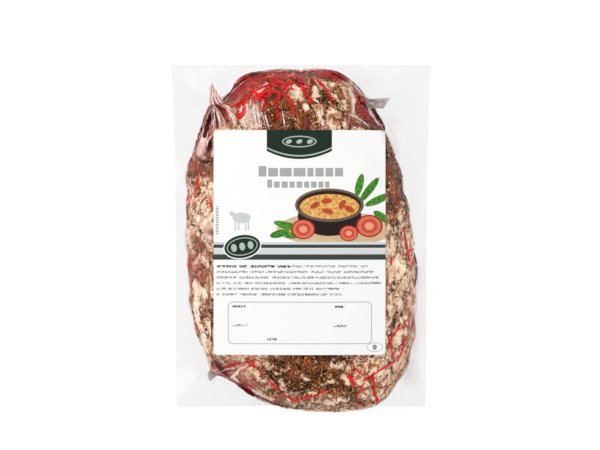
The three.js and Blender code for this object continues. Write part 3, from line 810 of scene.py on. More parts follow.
def tight_hits(turn, strand):
    """Points and normals along one strand of the net, with None where it isn't tight."""
    for along in np.arange(-NET_END, NET_END, NET_STEP):
        sway = SWAY * noise.noise(Vector((along / SWAY_LENGTH, strand * 3.1, turn * 7)))
        angle = 2 * math.pi * (strand + turn * (along + sway) / NET_CELL) / NET_STRANDS
        foot, outward = tight_ray(along, angle)
        hit, normal, *_ = meat_tree.ray_cast(foot + outward * FAR_OUT, -outward)
        yield (hit, normal) if hit and is_tight(hit) else None


for turn in (1, -1):
    for strand in range(NET_STRANDS):
        for is_laid, group in itertools.groupby(tight_hits(turn, strand), key=bool):
            run = list(group)
            if is_laid and len(run) * STRAND_STEP > SHORTEST_RUN:
                points = [hit + normal * TIGHT_WIDTH * TIGHT_PROUD for hit, normal in run]
                strand_runs.append((dive(points, [-normal for _, normal in run]), TIGHT_WIDTH / 2))
print(len(strand_runs), "strands in all")


# %% Strands into a mesh
FINISHES = 3  # a curve keeps no finish's number above the count of its slots


def cords(runs, sides=3):
    """A bmesh of round cords. A run is its points, its radius or radii, and its finish's number."""
    curve = bpy.data.curves.new("cords", "CURVE")
    curve.dimensions = "3D"
    curve.bevel_depth, curve.bevel_resolution, curve.use_fill_caps = 1, sides - 2, True
    for _ in range(FINISHES):
        curve.materials.append(None)
    for points, radius, *kind in runs:
        spline = curve.splines.new("POLY")
        spline.material_index = kind[0] if kind else 0
        spline.points.add(len(points) - 1)
        radii = np.broadcast_to(radius, len(points))
        for knot, point, size in zip(spline.points, points, radii.tolist()):
            knot.co, knot.radius = (*point, 1), size
    maker = bpy.data.objects.new("cords", curve)
    data = bpy.data.meshes.new_from_object(maker)
    mesh = bmesh.new()
    mesh.from_mesh(data)
    bpy.data.objects.remove(maker)
    bpy.data.curves.remove(curve)
    bpy.data.meshes.remove(data)
    return mesh


def net_shader(start):
    where = start.place()
    shade = where.noise(350, 3).smooth(0.3, 0.7).mix(srgb(200, 8, 20), srgb(252, 24, 34))
    soiled = where.noise(150, 3).smooth(0.56, 0.72) * 0.5
    colour, weave = soiled.mix(shade, srgb(132, 26, 26)), where.noise(2600, 2).bump(0.25)
    return start.body(colour, 0.6, 0.2, Coat_Weight=0.15, Coat_Roughness=0.2, Normal=weave)


net_mesh = cords(strand_runs)
for x, y in KNOTS:
    top = straight_down(meat_tree, x, y)[0]
    if top:
        knot = bmesh.ops.create_icosphere(net_mesh, subdivisions=2, radius=KNOT_RADIUS)["verts"]
        bmesh.ops.scale(net_mesh, verts=knot, vec=KNOT_SHAPE)
        bmesh.ops.translate(net_mesh, verts=knot, vec=top)
settle("net_strands", net_mesh, [finish_of("red elastic", net_shader)], "net")

# %% [markdown]
# ## Herbs and spices
# The crust is dried leaves, cracked pepper, mustard seed and flakes of paprika. There are thousands of
# bits, so each kind is one small shape, copied over the meat into a single mesh. Places are drawn at random
# in proportion to the herbs painted there, from a seeded generator, so every run gives the same roast.

# %% Scattering small shapes
rng = np.random.default_rng(2024)
LEAF_TIP, LEAF_THICKNESS, LEAF_SAG, CRUMB_SCALE = 1.05, 0.14, 0.4, 1.7
RIM_FLATTENING, ALIGNMENT, SMALL_ONES, LEAST_SCALE = 0.75, 1.0, 1.6, 0.75
MOST_CREASY, CLUMP_SIZE, CLUMP_SEED, CLUMP_FROM, CLUMP_TO = 1.7, 9, 4, -0.25, 0.3
LABEL_BED_Z, WELL_UNDER, HERBS_FROM_Z, HERBS_FULL_Z = 55, 0.98, 0.6, 2.5
meat.data.calc_loop_triangles()
corners = np.array([t.vertices for t in meat.data.loop_triangles])
at = np.array([v.co for v in meat.data.vertices]) / MM
facing = np.array([v.normal for v in meat.data.vertices])
first, second, third = (at[corners[:, i]] for i in range(3))
triangle_area = np.linalg.norm(np.cross(second - first, third - first), axis=1) / 2
middle = at[corners].mean(1)
herby = herb_share[corners].mean(1)
creasy = MOST_CREASY - plump[corners].mean(1)
clumped = soft_step(rough_at(middle, CLUMP_SIZE, CLUMP_SEED), CLUMP_FROM, CLUMP_TO)
under_label = label_bed(middle[:, 0], middle[:, 1]) * (middle[:, 2] > LABEL_BED_Z)
herbs_grow = np.where(under_label > WELL_UNDER, 0, 1) * soft_step(middle[:, 2], HERBS_FROM_Z, HERBS_FULL_Z)


def random_places(count, liking):
    """Points and normals on the meat, drawn in proportion to liking."""
    chance = triangle_area * liking * herbs_grow
    chosen = corners[rng.choice(len(corners), count, p=chance / chance.sum())]
    shares = rng.dirichlet((1, 1, 1), count)[:, :, None]
    normals = (facing[chosen] * shares).sum(1)
    return (at[chosen] * shares).sum(1), normals / np.linalg.norm(normals, axis=1)[:, None]


def scatter(name, shape, count, liking, sizes, lean_over, proud, finish, slot):
    """Copies a bmesh shape over the meat, as a piece. sizes is (least, most) for each of its three axes."""
    points, normals = random_places(count, liking)
    calm = 1 - RIM_FLATTENING * bell(points[:, 2:] - RIM_Z, RIM_SPREAD)
    normals = normals + rng.normal(0, lean_over, normals.shape) * calm
    normals /= np.linalg.norm(normals, axis=1)[:, None]
    along = np.cross(normals, rng.normal(size=normals.shape) + [ALIGNMENT, 0, 0])
    along /= np.linalg.norm(along, axis=1)[:, None]
    frames = np.stack([along, np.cross(normals, along), normals], 1)
    low, high = np.array(sizes).T
    small, uneven = rng.random((count, 1)) ** SMALL_ONES, rng.uniform(LEAST_SCALE, 1, (count, 3))
    scales = low + (high - low) * small * uneven
    shape.verts.ensure_lookup_table()
    local = np.array([v.co for v in shape.verts])
    scales[:, 2:] *= calm
    placed = (local[None] * scales[:, None]) @ frames + (points + normals * proud * calm)[:, None]
    faces = np.array([[v.index for v in f.verts] for f in shape.faces])
    data = bpy.data.meshes.new(name)
    shifted = faces[None] + (np.arange(count) * len(local))[:, None, None]
    data.from_pydata((placed.reshape(-1, 3) * MM).tolist(), [], shifted.reshape(-1, faces.shape[1]).tolist())
    shade = data.attributes.new("shade", "FLOAT", "POINT")
    shade.data.foreach_set("value", np.repeat(rng.random(count), len(local)))
    shape.free()
    piece_of(name, data, [finish], slot)


def small_ball():
    ball = bmesh.new()
    bmesh.ops.create_icosphere(ball, subdivisions=1, radius=1)
    return ball


def rolled_leaf(curl, width):
    """A dried leaf: a ball with few faces, pressed flat, pointed at both ends and curled."""
    leaf = small_ball()
    for vertex in leaf.verts:
        vertex.co.y *= width * (LEAF_TIP - vertex.co.x**2)
        vertex.co.z = vertex.co.z * LEAF_THICKNESS + curl * (vertex.co.x**2 - LEAF_SAG)
    return leaf


def crumb(seed, roughness=0.35):
    """A cracked grain: a ball with few faces and uneven corners."""
    grain = small_ball()
    for vertex in grain.verts:
        vertex.co *= 1 + roughness * noise.noise(vertex.co * CRUMB_SCALE + Vector((seed, seed, 0)))
    return grain


def dry_shader(dark, light):
    """A finish for scattered bits, each with a shade of its own."""

    def make(start):
        where, (shade,) = start.place(), start.painted("shade")
        mottled = (shade * 0.8 + where.noise(900, 2) * 0.4 - 0.1).smooth(0.25, 0.85)
        colour, grain = mottled.mix(dark, light), where.noise(2200, 2).bump(0.2)
        return start.body(colour, 0.6, 0.2, Coat_Weight=0.1, Coat_Roughness=0.2, Normal=grain)

    return make


# %% The crust
SCATTERED = [
    # name, shape, count, liking, least and most size of each axis, lean, proud, dark, light
    ("herb_leaves", rolled_leaf(0.2, 0.28), 4600, herby**2.4 * creasy * (clumped + 0.1),
     [(0.8, 3.3), (0.8, 2.9), (0.8, 1.8)], 0.25, 0.25, srgb(58, 32, 17), srgb(152, 96, 54)),
    ("herb_needles", rolled_leaf(0.1, 0.13), 4600, (herby + 0.02) ** 1.6 * creasy,
     [(0.9, 3.2), (0.9, 3.0), (1.0, 2.2)], 0.15, 0.25, srgb(94, 54, 26), srgb(196, 138, 78)),
    ("golden_leaves", rolled_leaf(0.15, 0.3), 1200, herby**2.6 * (clumped + 0.1),
     [(0.8, 2.5), (0.8, 1.9), (0.7, 1.6)], 0.25, 0.4, srgb(108, 66, 22), srgb(206, 146, 62)),
    ("pepper", crumb(3), 1500, herby**3.5 * (clumped**3 + 0.02) * creasy,
     [(0.4, 1.5), (0.4, 1.3), (0.25, 0.7)], 0.5, 0.25, srgb(24, 13, 7), srgb(84, 48, 28)),
    ("mustard_seeds", crumb(8, 0.08), 150, herby**3,
     [(0.5, 0.9), (0.5, 0.9), (0.45, 0.8)], 0.6, 0.4, srgb(206, 150, 74), srgb(250, 222, 160)),
    ("garlic", rolled_leaf(0.1, 0.3), 1500, (herby + 0.05) ** 1.5,
     [(0.5, 2.0), (0.5, 1.5), (0.6, 1.4)], 0.3, 0.3, srgb(196, 138, 92), srgb(255, 236, 206)),
    ("paprika", crumb(14), 1500, herby + 0.1,
     [(0.3, 1.0), (0.25, 0.8), (0.12, 0.3)], 0.3, 0.25, srgb(164, 56, 20), srgb(222, 118, 50)),
]
for name, *how, dark, light in SCATTERED:
    scatter(name, *how, finish_of(name, dry_shader(dark, light)), "herbs")

# %% [markdown]
# ## The film
# The pouch is two clear films, sealed flat round the roast. They are one closed skin here: over the roast,
# down to the seam, out over the margin, and back under it. Where the film had spare length it is drawn into
# creases, so fine ridges run over the shoulders, and short wrinkles stand along the seam all round.

# %% Sizes of the margin and the creases
MARGIN_THICKNESS, MARGIN_DROOP, FOOT_DROOP, DROOP_CURVE = 0.5, 5, 2, 1.5
WAVE_HEIGHT, WAVE_COUNT, WAVE_PHASE, WAVE_REACH = 1.3, 5, 1, 2.4
WEB_HEIGHT, UNDER_WEB, WEB_REACH, WEB_SHARE = 5, 3, 4, 0.3
FOOT_BEARING, FOOT_DROP, FOOT_SPREAD, FOOT_START = 274, 17, 24, 0.05
FILM_TAUT, EDGE_THINNING = 0.7, 0.8
RIDGE_SHARPNESS, RIDGE_COLUMNS, RIDGE_ROWS, RIDGE_HEIGHT = 2.4, 0.42, 0.05, 0.35
SEAM_SPREAD, MARGIN_RIDGES, TENT_HEIGHT, TENT_SIZE, TENT_SEED = 11, 0.25, 0.35, 2.6, 3
SMOOTH_TO_Z, WRINKLED_FROM_Z, SEAM_JUICE, PATCH_SPREAD = 0.3, 6, 0.32, 0.8
FILM_COLUMNS, FILM_TOP_ROWS, FILM_MARGIN_ROWS, FILM_UNDER_ROWS = 440, 112, 22, 60


def pouch_points():
    """The pouch's skin as rows of points from the top of the roast to its underside."""
    edge_x, edge_y = margin_edge(FILM_COLUMNS)
    bearing = bearing_of(edge_x, edge_y)
    foot = bell(turn_between(bearing, FOOT_BEARING), FOOT_SPREAD)
    seam_z = SEAM_Z - FOOT_DROP * foot
    seam = roast_point(bearing, tilt_at(seam_z, bearing), FILM_TAUT)
    width = np.hypot(edge_x - seam[:, 0], edge_y - seam[:, 1])
    droop = MARGIN_DROOP + (FOOT_DROOP - MARGIN_DROOP) * foot
    web = np.minimum(WEB_SHARE, WEB_REACH / width)

    def margin_row(step, side):
        share = web + (1 - web) * step
        wave = WAVE_HEIGHT * np.sin(np.radians(bearing) * WAVE_COUNT + WAVE_PHASE)
        wave = wave * np.sin(share * WAVE_REACH)
        thickness = MARGIN_THICKNESS * (1 - EDGE_THINNING * step**4)
        x, y = seam[:, 0] + (edge_x - seam[:, 0]) * share, seam[:, 1] + (edge_y - seam[:, 1]) * share
        return np.stack([x, y, seam_z - droop * share**DROOP_CURVE + wave + side * thickness / 2], 1)

    web_top = np.where(foot > FOOT_START, np.minimum(SEAM_Z, seam_z + WEB_HEIGHT), seam_z + WEB_HEIGHT)
    top, under = tilt_at(web_top, bearing), tilt_at(seam_z - UNDER_WEB, bearing)
    over_shares, under_shares = np.linspace(0, 1, FILM_TOP_ROWS), np.linspace(0, 1, FILM_UNDER_ROWS)
    rows = [roast_point(bearing, 90 + (top - 90) * share, FILM_TAUT) for share in over_shares]
    rows += [margin_row(step, 1) for step in np.linspace(0, 1, FILM_MARGIN_ROWS)]
    rows += [margin_row(step, -1) for step in np.linspace(1, 0, FILM_MARGIN_ROWS)]
    rows += [roast_point(bearing, under - (90 + under) * share, FILM_TAUT) for share in under_shares]
    return np.stack(rows)


film_mesh, film_places = lay_on_sphere(pouch_points())
places = on_mesh(film_mesh)
row, column = film_places.T
on_roast = (row < FILM_TOP_ROWS) | (row >= FILM_TOP_ROWS + 2 * FILM_MARGIN_ROWS)
seam_near = np.where(on_roast, bell(places[:, 2] - SEAM_Z, SEAM_SPREAD), MARGIN_RIDGES)
ridge_places = np.stack([column * RIDGE_COLUMNS, row * RIDGE_ROWS, row * 0], 1)
ridged = 1 - RIDGE_SHARPNESS * np.abs(rough_at(ridge_places, 1))
under_free = soft_step(places[:, 2], SMOOTH_TO_Z, WRINKLED_FROM_Z)
free = np.where(places[:, 2] > SEAM_Z, 1 - label_bed(*places.T[:2]), under_free)
tents = TENT_HEIGHT * rough_at(places, TENT_SIZE, TENT_SEED) * on_roast
lift(film_mesh, (ridged * RIDGE_HEIGHT * seam_near + tents) * np.where(on_roast, free, 1))
for vertex in film_mesh.verts:
    vertex.co.z = max(vertex.co.z, 0)
film_tree = BVHTree.FromBMesh(film_mesh)
print("film", len(film_mesh.verts), "vertices")

# %% [markdown]
# Film is see-through, and only shows by its gloss, by the juice behind it, and by a whitish haze where it
# is creased or pulled off the meat. So each point of it has a haze and a juice value. The margin has a
# finish of its own, because two films lie on each other there and take a little more of the light.

# %% Haze and juice on the film
HAZE_SPOTS = [  # x, y, half width, half length, haze
    (-27, 69, 5, 8, 0.55), (-52, 1, 2.5, 9, 0.3), (34, 80, 4, 8, 0.3), (27, 66, 9, 4, 0.2),
    (-9, 92, 22, 3, 0.2),
    (-41, -73, 9, 6, 0.2), (46, -83, 8, 5, 0.15), (52, -66, 5, 6, 0.15), (-58, 24, 4, 6, 0.15),
    (30, 90, 6, 4, 0.3),
]
JUICE_SPOTS = [
    (-38, 84, 7, 4, 0.8), (-9, 93, 26, 3, 0.4), (19, 92, 8, 3, 0.85), (-54, 66, 4, 10, 0.6),
    (34, 77, 4, 6, 0.5),
    (-58, 40, 6, 5, 0.35), (-41, -76, 10, 6, 0.4), (-20, -90, 12, 4, 0.35), (55, -74, 6, 8, 0.3),
    (52, 46, 5, 14, 0.3), (-62, -10, 3, 22, 0.3), (48, 62, 3, 5, 0.45), (38, 83, 5, 5, 0.7),
    (44, 72, 4, 6, 0.6),
    (-30, 92, 6, 3, 0.9), (60, -40, 3, 16, 0.3), (-30, -80, 9, 6, 0.3), (-35, -83, 9, 3, 0.6),
    (-46, -77, 4, 4, 0.5),
]


def patches(points, spots):
    x, y, z = points.T
    total = 0
    for at_x, at_y, half_width, half_length, much in spots:
        total = total + much * bell(np.hypot((x - at_x) / half_width, (y - at_y) / half_length), PATCH_SPREAD)
    return np.minimum(total, 1) * soft_step(z, SPOTS_START_Z, SPOTS_FULL_Z)


paint(film_mesh, "haze", patches(places, HAZE_SPOTS))
juice_here = patches(places, JUICE_SPOTS) + SEAM_JUICE * seam_near * on_roast
paint(film_mesh, "juice", np.minimum(juice_here, 1))
for face in film_mesh.faces:
    face.material_index = int(any(not on_roast[corner.index] for corner in face.verts))

CLEAR, MARGIN_CLEAR, MILK_AND_SHEEN = srgb(252, 249, 246), srgb(248, 248, 248), srgb(246, 246, 246)
FILM_WHITE, FILM_CRIMSON, FILM_MAROON = srgb(242, 212, 200), srgb(172, 26, 30), srgb(64, 8, 12)


def film_shader(start):
    where = start.place()
    haze, juice = start.painted("haze", "juice")
    streaks = where.stretched(1, 0.25, 1).noise(260, 3, 0.6)
    puckers = where.noise(420, 3, 0.55)
    normal = (streaks * 0.7 + puckers * 0.15).bump(0.45, 0.6)
    cloud = (haze * 1.1 + (streaks - 0.5) * haze * 2.0).smooth(0.1, 1.0)
    pooled = where.noise(120, 3, 0.5) - 0.5
    soaked = juice + (puckers - 0.5) * 0.5 + (streaks - 0.5) * juice * 1.4 + pooled * juice * 1.6
    red = soaked.smooth(0.1, 0.95) * 0.7 + soaked.smooth(1.0, 1.25) * 0.25
    colour = (juice * 1.6 - cloud * 0.8).smooth(0.05, 0.7).mix(FILM_WHITE, FILM_CRIMSON)
    colour = soaked.smooth(0.85, 1.2).mix(colour, FILM_MAROON)
    covered = (cloud * 0.88).most(red).shaders(start.clear(CLEAR), start.body(colour, 0.6, 0.0))
    shine, gloss = start.gloss(normal, 0.07)
    return shine.shaders(covered, gloss)


def margin_shader(start):
    where = start.place()
    ripples = where.stretched(1, 0.2, 1).noise(60, 3, 0.6)
    normal = (ripples * 0.8 + where.noise(300, 2) * 0.2).bump(0.8, 0.5)
    # Whitish patches and streaks on the ripples: partly the sealed films' own haze, partly painted
    # reflection.
    milk_and_sheen = (ripples.smooth(0.54, 0.7) * 0.2).most(where.noise(20, 2, 0.4).smooth(0.52, 0.66) * 0.5)
    shine, gloss = start.gloss(normal, 0.12)
    shone = (shine * 0.25).shaders(start.clear(MARGIN_CLEAR), gloss)
    return milk_and_sheen.shaders(shone, start.body(MILK_AND_SHEEN, 0.3, 0.5, Normal=normal))


film_finish = finish_of("clear vacuum film", film_shader)
film = settle("film_shell", film_mesh, [film_finish, finish_of("sealed film margin", margin_shader)], "film")
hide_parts("pouch")

# %% [markdown]
# ## Gathers
# At three corners the spare film is drawn together into a point, like a sweet's wrapper. From there pleats
# fan out over the shoulder. A pleated fan is a grid of which one side is drawn to a point: its columns run
# from the hub to the fan's rim, and rise and fall in crests and valleys.

# %% Fans of pleated film
FANS = [  # hub and its height, rim, pleats, pleat height, share of haze, share of juice
    ((-49.8, 78.2, 50), [(-61.5, 50), (-58, 45), (-53, 43.5), (-49.3, 47)], 7, 1.3, 0.75, 0.9),
    ((-49.4, 78.4, 52), [(-49.3, 58), (-47, 60.6), (-41, 60.8), (-35, 61), (-33, 66)], 9, 1.2, 0.95, 0.95),
    ((-48.6, 79, 50), [(-33, 67), (-32, 76), (-28.5, 82), (-28.5, 88.6), (-33, 87.6)], 6, 1.0, 0.2, 0.6),
    ((41.6, 77, 45), [(48.2, 61), (43, 60.6), (36, 61), (30, 63), (28, 69)], 5, 1.3, 0.35, 0.6),
    ((40.4, 78.4, 45), [(28, 68), (24, 76), (23, 82), (24.5, 88), (29, 88.8), (33.6, 85.2)],
     6, 1.0, 0.3, 0.65),
    ((-50.6, -75, 38), [(-50, -63), (-44, -65.6), (-36, -66), (-29, -70), (-27, -78), (-31, -84), (-38, -83)],
     7, 1.2, 0.5, 0.6),
]
FAN_COLUMNS, FAN_ROWS, FAN_PROUD, FAN_RIM_SUNK, RIM_STEP = 110, 36, 0.25, 0.9, 0.2
PLEAT_WANDER, PLEAT_FLOOR, PLEAT_PEAK, PLEAT_START = 0.35, 0.15, 1.25, 0.06
BUNCH, BUNCH_HAZE, BUNCH_JUICE, POCKET_OUTSIDE, POCKET_INSIDE = 6, 0.9, 0.5, 1.35, 0.65
POCKETS = [  # route in plan, half width, haze, juice: over 1 the juice is so deep that it looks maroon
    ([(-52.3, 67.5), (-55.1, 55.3), (-58.4, 46.3)], 2.3, 1.4, 0),
    ([(-50.6, 69.9), (-52.3, 63.2), (-53.9, 57.5)], 1.3, 0, 1.9),
    ([(-52.3, 69), (-55.3, 62), (-58.9, 50.8), (-60.3, 45.2)], 0.5, 0, 1.3),
    ([(-56, 62), (-60, 52.5), (-62, 45)], 0.8, 0, 0.9), ([(-53.4, 49.7), (-54.5, 45.2)], 1.8, 1.1, 0.1),
    ([(-49.8, 56), (-51.2, 50.5), (-52.4, 45.8)], 1.7, 0, 1.9),
    ([(-49.4, 57.5), (-55.1, 49.7), (-59, 45.2)], 0.5, 1, 0),
    ([(-47.8, 75.5), (-43.3, 72.1), (-41, 65.4)], 1.1, 0, 1.2),
    ([(-48.3, 77.2), (-41, 73.3), (-37.7, 67.6), (-36, 61.5)], 1.0, 1.0, 0),
    ([(-48.9, 71), (-47.2, 65.4), (-46.6, 61.5)], 0.9, 0, 1.4),
    ([(-48.9, 74.4), (-46.1, 67.6), (-44.4, 61.5)], 0.6, 0.9, 0),
    ([(-50, 71), (-49.4, 65.4), (-48.3, 61.5)], 0.5, 0.7, 0.1),
    ([(-43.8, 78.9), (-39.3, 84.5), (-33.2, 89.5)], 0.9, 0, 1.4),
    ([(-41, 78.9), (-34.3, 84.5), (-29.8, 89)], 1.2, 0, 0.7),
    ([(26.9, 83.4), (29.2, 77.8), (28.6, 71)], 1.1, 0.9, 0), ([(32.5, 79.4), (32, 74.4)], 0.8, 0, 1.2),
    ([(33.1, 75.5), (37, 75)], 0.8, 0, 1.25), ([(39.3, 65.4), (46.6, 61.5)], 1.6, 0, 1.4),
    ([(39.3, 72.1), (41.5, 68.2), (43.8, 64.3)], 1.2, 1.3, 0),
    ([(41, 74), (45, 66.5), (48.2, 59.2)], 1.1, 0, 1.35),
    ([(28.6, 87.3), (33.7, 82.8), (37.6, 79.4)], 0.6, 0.3, 0.9), ([(34, 71), (40, 67)], 1.8, 0.2, 0.6),
    ([(-49.6, -64), (-50.2, -67), (-46.8, -70.7), (-43.4, -74.7), (-41.2, -77.5)], 1.2, 0, 1.3),
    ([(-50.6, -68), (-49.6, -72)], 1.6, 0.1, 0.45),
    ([(-38.9, -78.1), (-33.8, -72.4), (-28.8, -70.7)], 0.8, 1.0, 0),
    ([(-38.3, -77.5), (-35, -80.9)], 0.7, 1, 0), ([(-40, -71), (-34, -69)], 1.6, 0, 0.8),
]


def on_film(x, y, low):
    """The height of the film, or low if that is higher."""
    hit = straight_down(film_tree, x, y)[0]
    return max(low, hit.z) if hit else low


def pleated(across, pleats):
    """How far up its pleat a place is: 0 in a valley and 1 on a crest."""
    return 1 - abs(across * pleats % 1 * 2 - 1)


def grid_on(mesh, columns, rows):
    """Adds a grid. Gives each vertex with its place across and up, from 0 to 1."""
    made = bmesh.ops.create_grid(mesh, x_segments=columns, y_segments=rows, size=1)["verts"]
    return [(vertex, (vertex.co.x + 1) / 2, (vertex.co.y + 1) / 2) for vertex in made]


def fan(mesh, hub, rim, pleats, height):
    """Adds a pleated fan of film, and says how far each vertex is up its pleat and out from the hub."""
    rim_points = evenly(rim, RIM_STEP)
    made, crests, outward = [], [], []
    for vertex, across, out in grid_on(mesh, FAN_COLUMNS, FAN_ROWS):
        wander = across * pleats + PLEAT_WANDER * noise.noise(Vector((across * 6, out * 1.5, hub[0])))
        crest = pleated(wander, 1)
        end = rim_points[min(len(rim_points) - 1, round(across * (len(rim_points) - 1)))]
        x, y = hub[0] + (end[0] - hub[0]) * out, hub[1] + (end[1] - hub[1]) * out
        swell = math.sin(math.pi * min(1, out * PLEAT_PEAK + PLEAT_START))
        lifted = (crest - PLEAT_FLOOR) * height * swell + FAN_PROUD - FAN_RIM_SUNK * out**4
        vertex.co = (x, y, on_film(x, y, hub[2] * (1 - out) ** 2) + lifted)
        made.append(vertex)
        crests.append(crest)
        outward.append(out)
    return made, np.array(crests), np.array(outward)


fan_mesh = bmesh.new()
haze_layer, juice_layer = (fan_mesh.verts.layers.float.new(name) for name in ("haze", "juice"))
for hub, rim, pleats, height, hazy, juicy in FANS:
    made, crests, outward = fan(fan_mesh, hub, rim, pleats, height)
    x, y = np.array([vertex.co for vertex in made]).T[:2]
    inside, bunched = 1 - outward**4, (1 - outward) ** BUNCH
    # Pleat crests are painted whitish with haze and valleys dark with juice: real haze and juice, and also
    # the painted highlight and shade of the pleats.
    fan_haze_and_highlight = hazy * crests**2 * inside + BUNCH_HAZE * bunched
    fan_juice_and_shade = juicy * (1 - crests) * inside + BUNCH_JUICE * bunched
    for route, half_width, pocket_haze, pocket_juice in POCKETS:
        edge = (half_width * POCKET_OUTSIDE, half_width * POCKET_INSIDE)
        share = soft_step(off_route(x, y, route), *edge) * np.sqrt(inside)
        fan_haze_and_highlight = fan_haze_and_highlight * (1 - share) + pocket_haze * share
        fan_juice_and_shade = fan_juice_and_shade * (1 - share) + pocket_juice * share
    for vertex, haze_here, juice_here in zip(made, fan_haze_and_highlight.tolist(), fan_juice_and_shade.tolist()):
        vertex[haze_layer], vertex[juice_layer] = haze_here, juice_here
fan_tree = BVHTree.FromBMesh(fan_mesh)
print(len(FANS), "fans")

# %% [markdown]
# The very tips stand clear of the roast: a twisted tuft at the head's left, a folded flap at its right, and
# a small stiff corner at the foot. All are grids that are bent to shape, and the tuft's is pleated and torn
# at its end.

# %% Tips of the gathers
FLAPS = [  # four corners in plan with heights, in order round the flap
    [(36.8, 78.4, 42), (50.4, 79.6, 45), (46.6, 73.4, 43), (37.8, 73.8, 42)],
    [(40.8, 78.8, 45), (47.5, 79.1, 46), (45.5, 77, 44.5), (41.4, 76.2, 44)],
    [(-46.2, -76.8, 30), (-52.2, -82.2, 25), (-53.8, -79, 26), (-52.6, -75.4, 30)],
]
FLAP_SHADED_GREY, FLAP_LIT_PALE = srgb(130, 120, 121), srgb(192, 184, 184)
FLAP_COLUMNS, FLAP_ROWS, FLAP_CURL, FLAP_UNEVENNESS = 18, 12, 1.1, 0.4
TUFT = [(-52.6, 74.4, 47), (-43.4, 76.4, 49), (-48.0, 86.0, 50), (-51.0, 88.2, 50)]
TUFT_COLUMNS, TUFT_ROWS, TUFT_PLEATS, TUFT_DEPTH, TUFT_SWAY, TUFT_SWAYS = 72, 30, 4, 1.6, 0.1, 5
TUFT_TEAR, TUFT_PEAK, TUFT_FRAY, TUFT_TEETH, TUFT_SEED = 0.8, 0.35, 0.12, 7, 4
TUFT_WAIST, WAIST_LIFT, TUFT_FLATTENING = 0.1, 1.4, 0.5
TUFT_HAZE, CREST_HIGHLIGHT_HAZE, TIP_HAZE = 0.6, 0.4, 0.2
TUFT_JUICE, VALLEY_JUICE_AND_SHADE, TIP_JUICE_FROM = 0.15, 0.7, 0.45


for near_top, far_top, far_bottom, near_bottom in (map(Vector, flap) for flap in FLAPS):
    grid = grid_on(fan_mesh, FLAP_COLUMNS, FLAP_ROWS)
    for face in {face for vertex, _, _ in grid for face in vertex.link_faces}:
        face.material_index = 1
    for vertex, across, down in grid:
        curl = FLAP_CURL * math.sin(math.pi * down) * across + FLAP_UNEVENNESS * noise.noise(vertex.co * 2)
        top, bottom = near_top.lerp(far_top, across), near_bottom.lerp(far_bottom, across)
        vertex.co = top.lerp(bottom, down) + Vector((0, 0, curl))
low_left, low_right, top_right, top_left = map(Vector, TUFT)
for vertex, across, up in grid_on(fan_mesh, TUFT_COLUMNS, TUFT_ROWS):
    frayed = TUFT_FRAY * noise.noise(Vector((across * TUFT_TEETH, 0, TUFT_SEED)))
    up *= 1 - TUFT_TEAR * abs(across - TUFT_PEAK) - frayed
    crest = pleated(across + TUFT_SWAY * math.sin(up * TUFT_SWAYS), TUFT_PLEATS)
    waist = (across - 0.5) * (1 - TUFT_WAIST * math.sin(math.pi * min(1, up * WAIST_LIFT))) + 0.5
    flat = low_left.lerp(low_right, waist).lerp(top_left.lerp(top_right, waist), up)
    vertex.co = flat + Vector((0, 0, (crest - 0.5) * TUFT_DEPTH * (1 - TUFT_FLATTENING * up)))
    # The tuft's crests are painted hazier and its valleys juicier, partly as painted highlight and shade of
    # its pleats.
    vertex[haze_layer] = TUFT_HAZE + CREST_HIGHLIGHT_HAZE * crest - TIP_HAZE * up
    vertex[juice_layer] = TUFT_JUICE + VALLEY_JUICE_AND_SHADE * (1 - crest) + max(0, up - TIP_JUICE_FROM)


def flap_shader(start):
    folds = start.place().stretched(0.4, 1, 1).noise(240, 3, 0.6)
    # The folds' colour follows their bump: pale on the crests and grey in the valleys, painted light and
    # shade of the folds.
    colour = folds.smooth(0.35, 0.65).mix(FLAP_SHADED_GREY, FLAP_LIT_PALE)
    body = start.body(colour, 0.3, 0.2, Normal=folds.bump(0.6))
    return (folds.smooth(0.2, 0.5) * 0.25 + 0.72).shaders(start.clear(CLEAR), body)


settle("film_gathers", fan_mesh, [film_finish, finish_of("folded film", flap_shader)], "film")

# %% [markdown]
# Sharp creases catch the light as thin white lines, and these are white cords: painted highlights. Others
# fill with juice and turn dark, and two dark cords are painted shadows, under a pocket and along the
# label's edge. All are slim cords of film, laid on the pouch and drawn out to nothing at both ends.

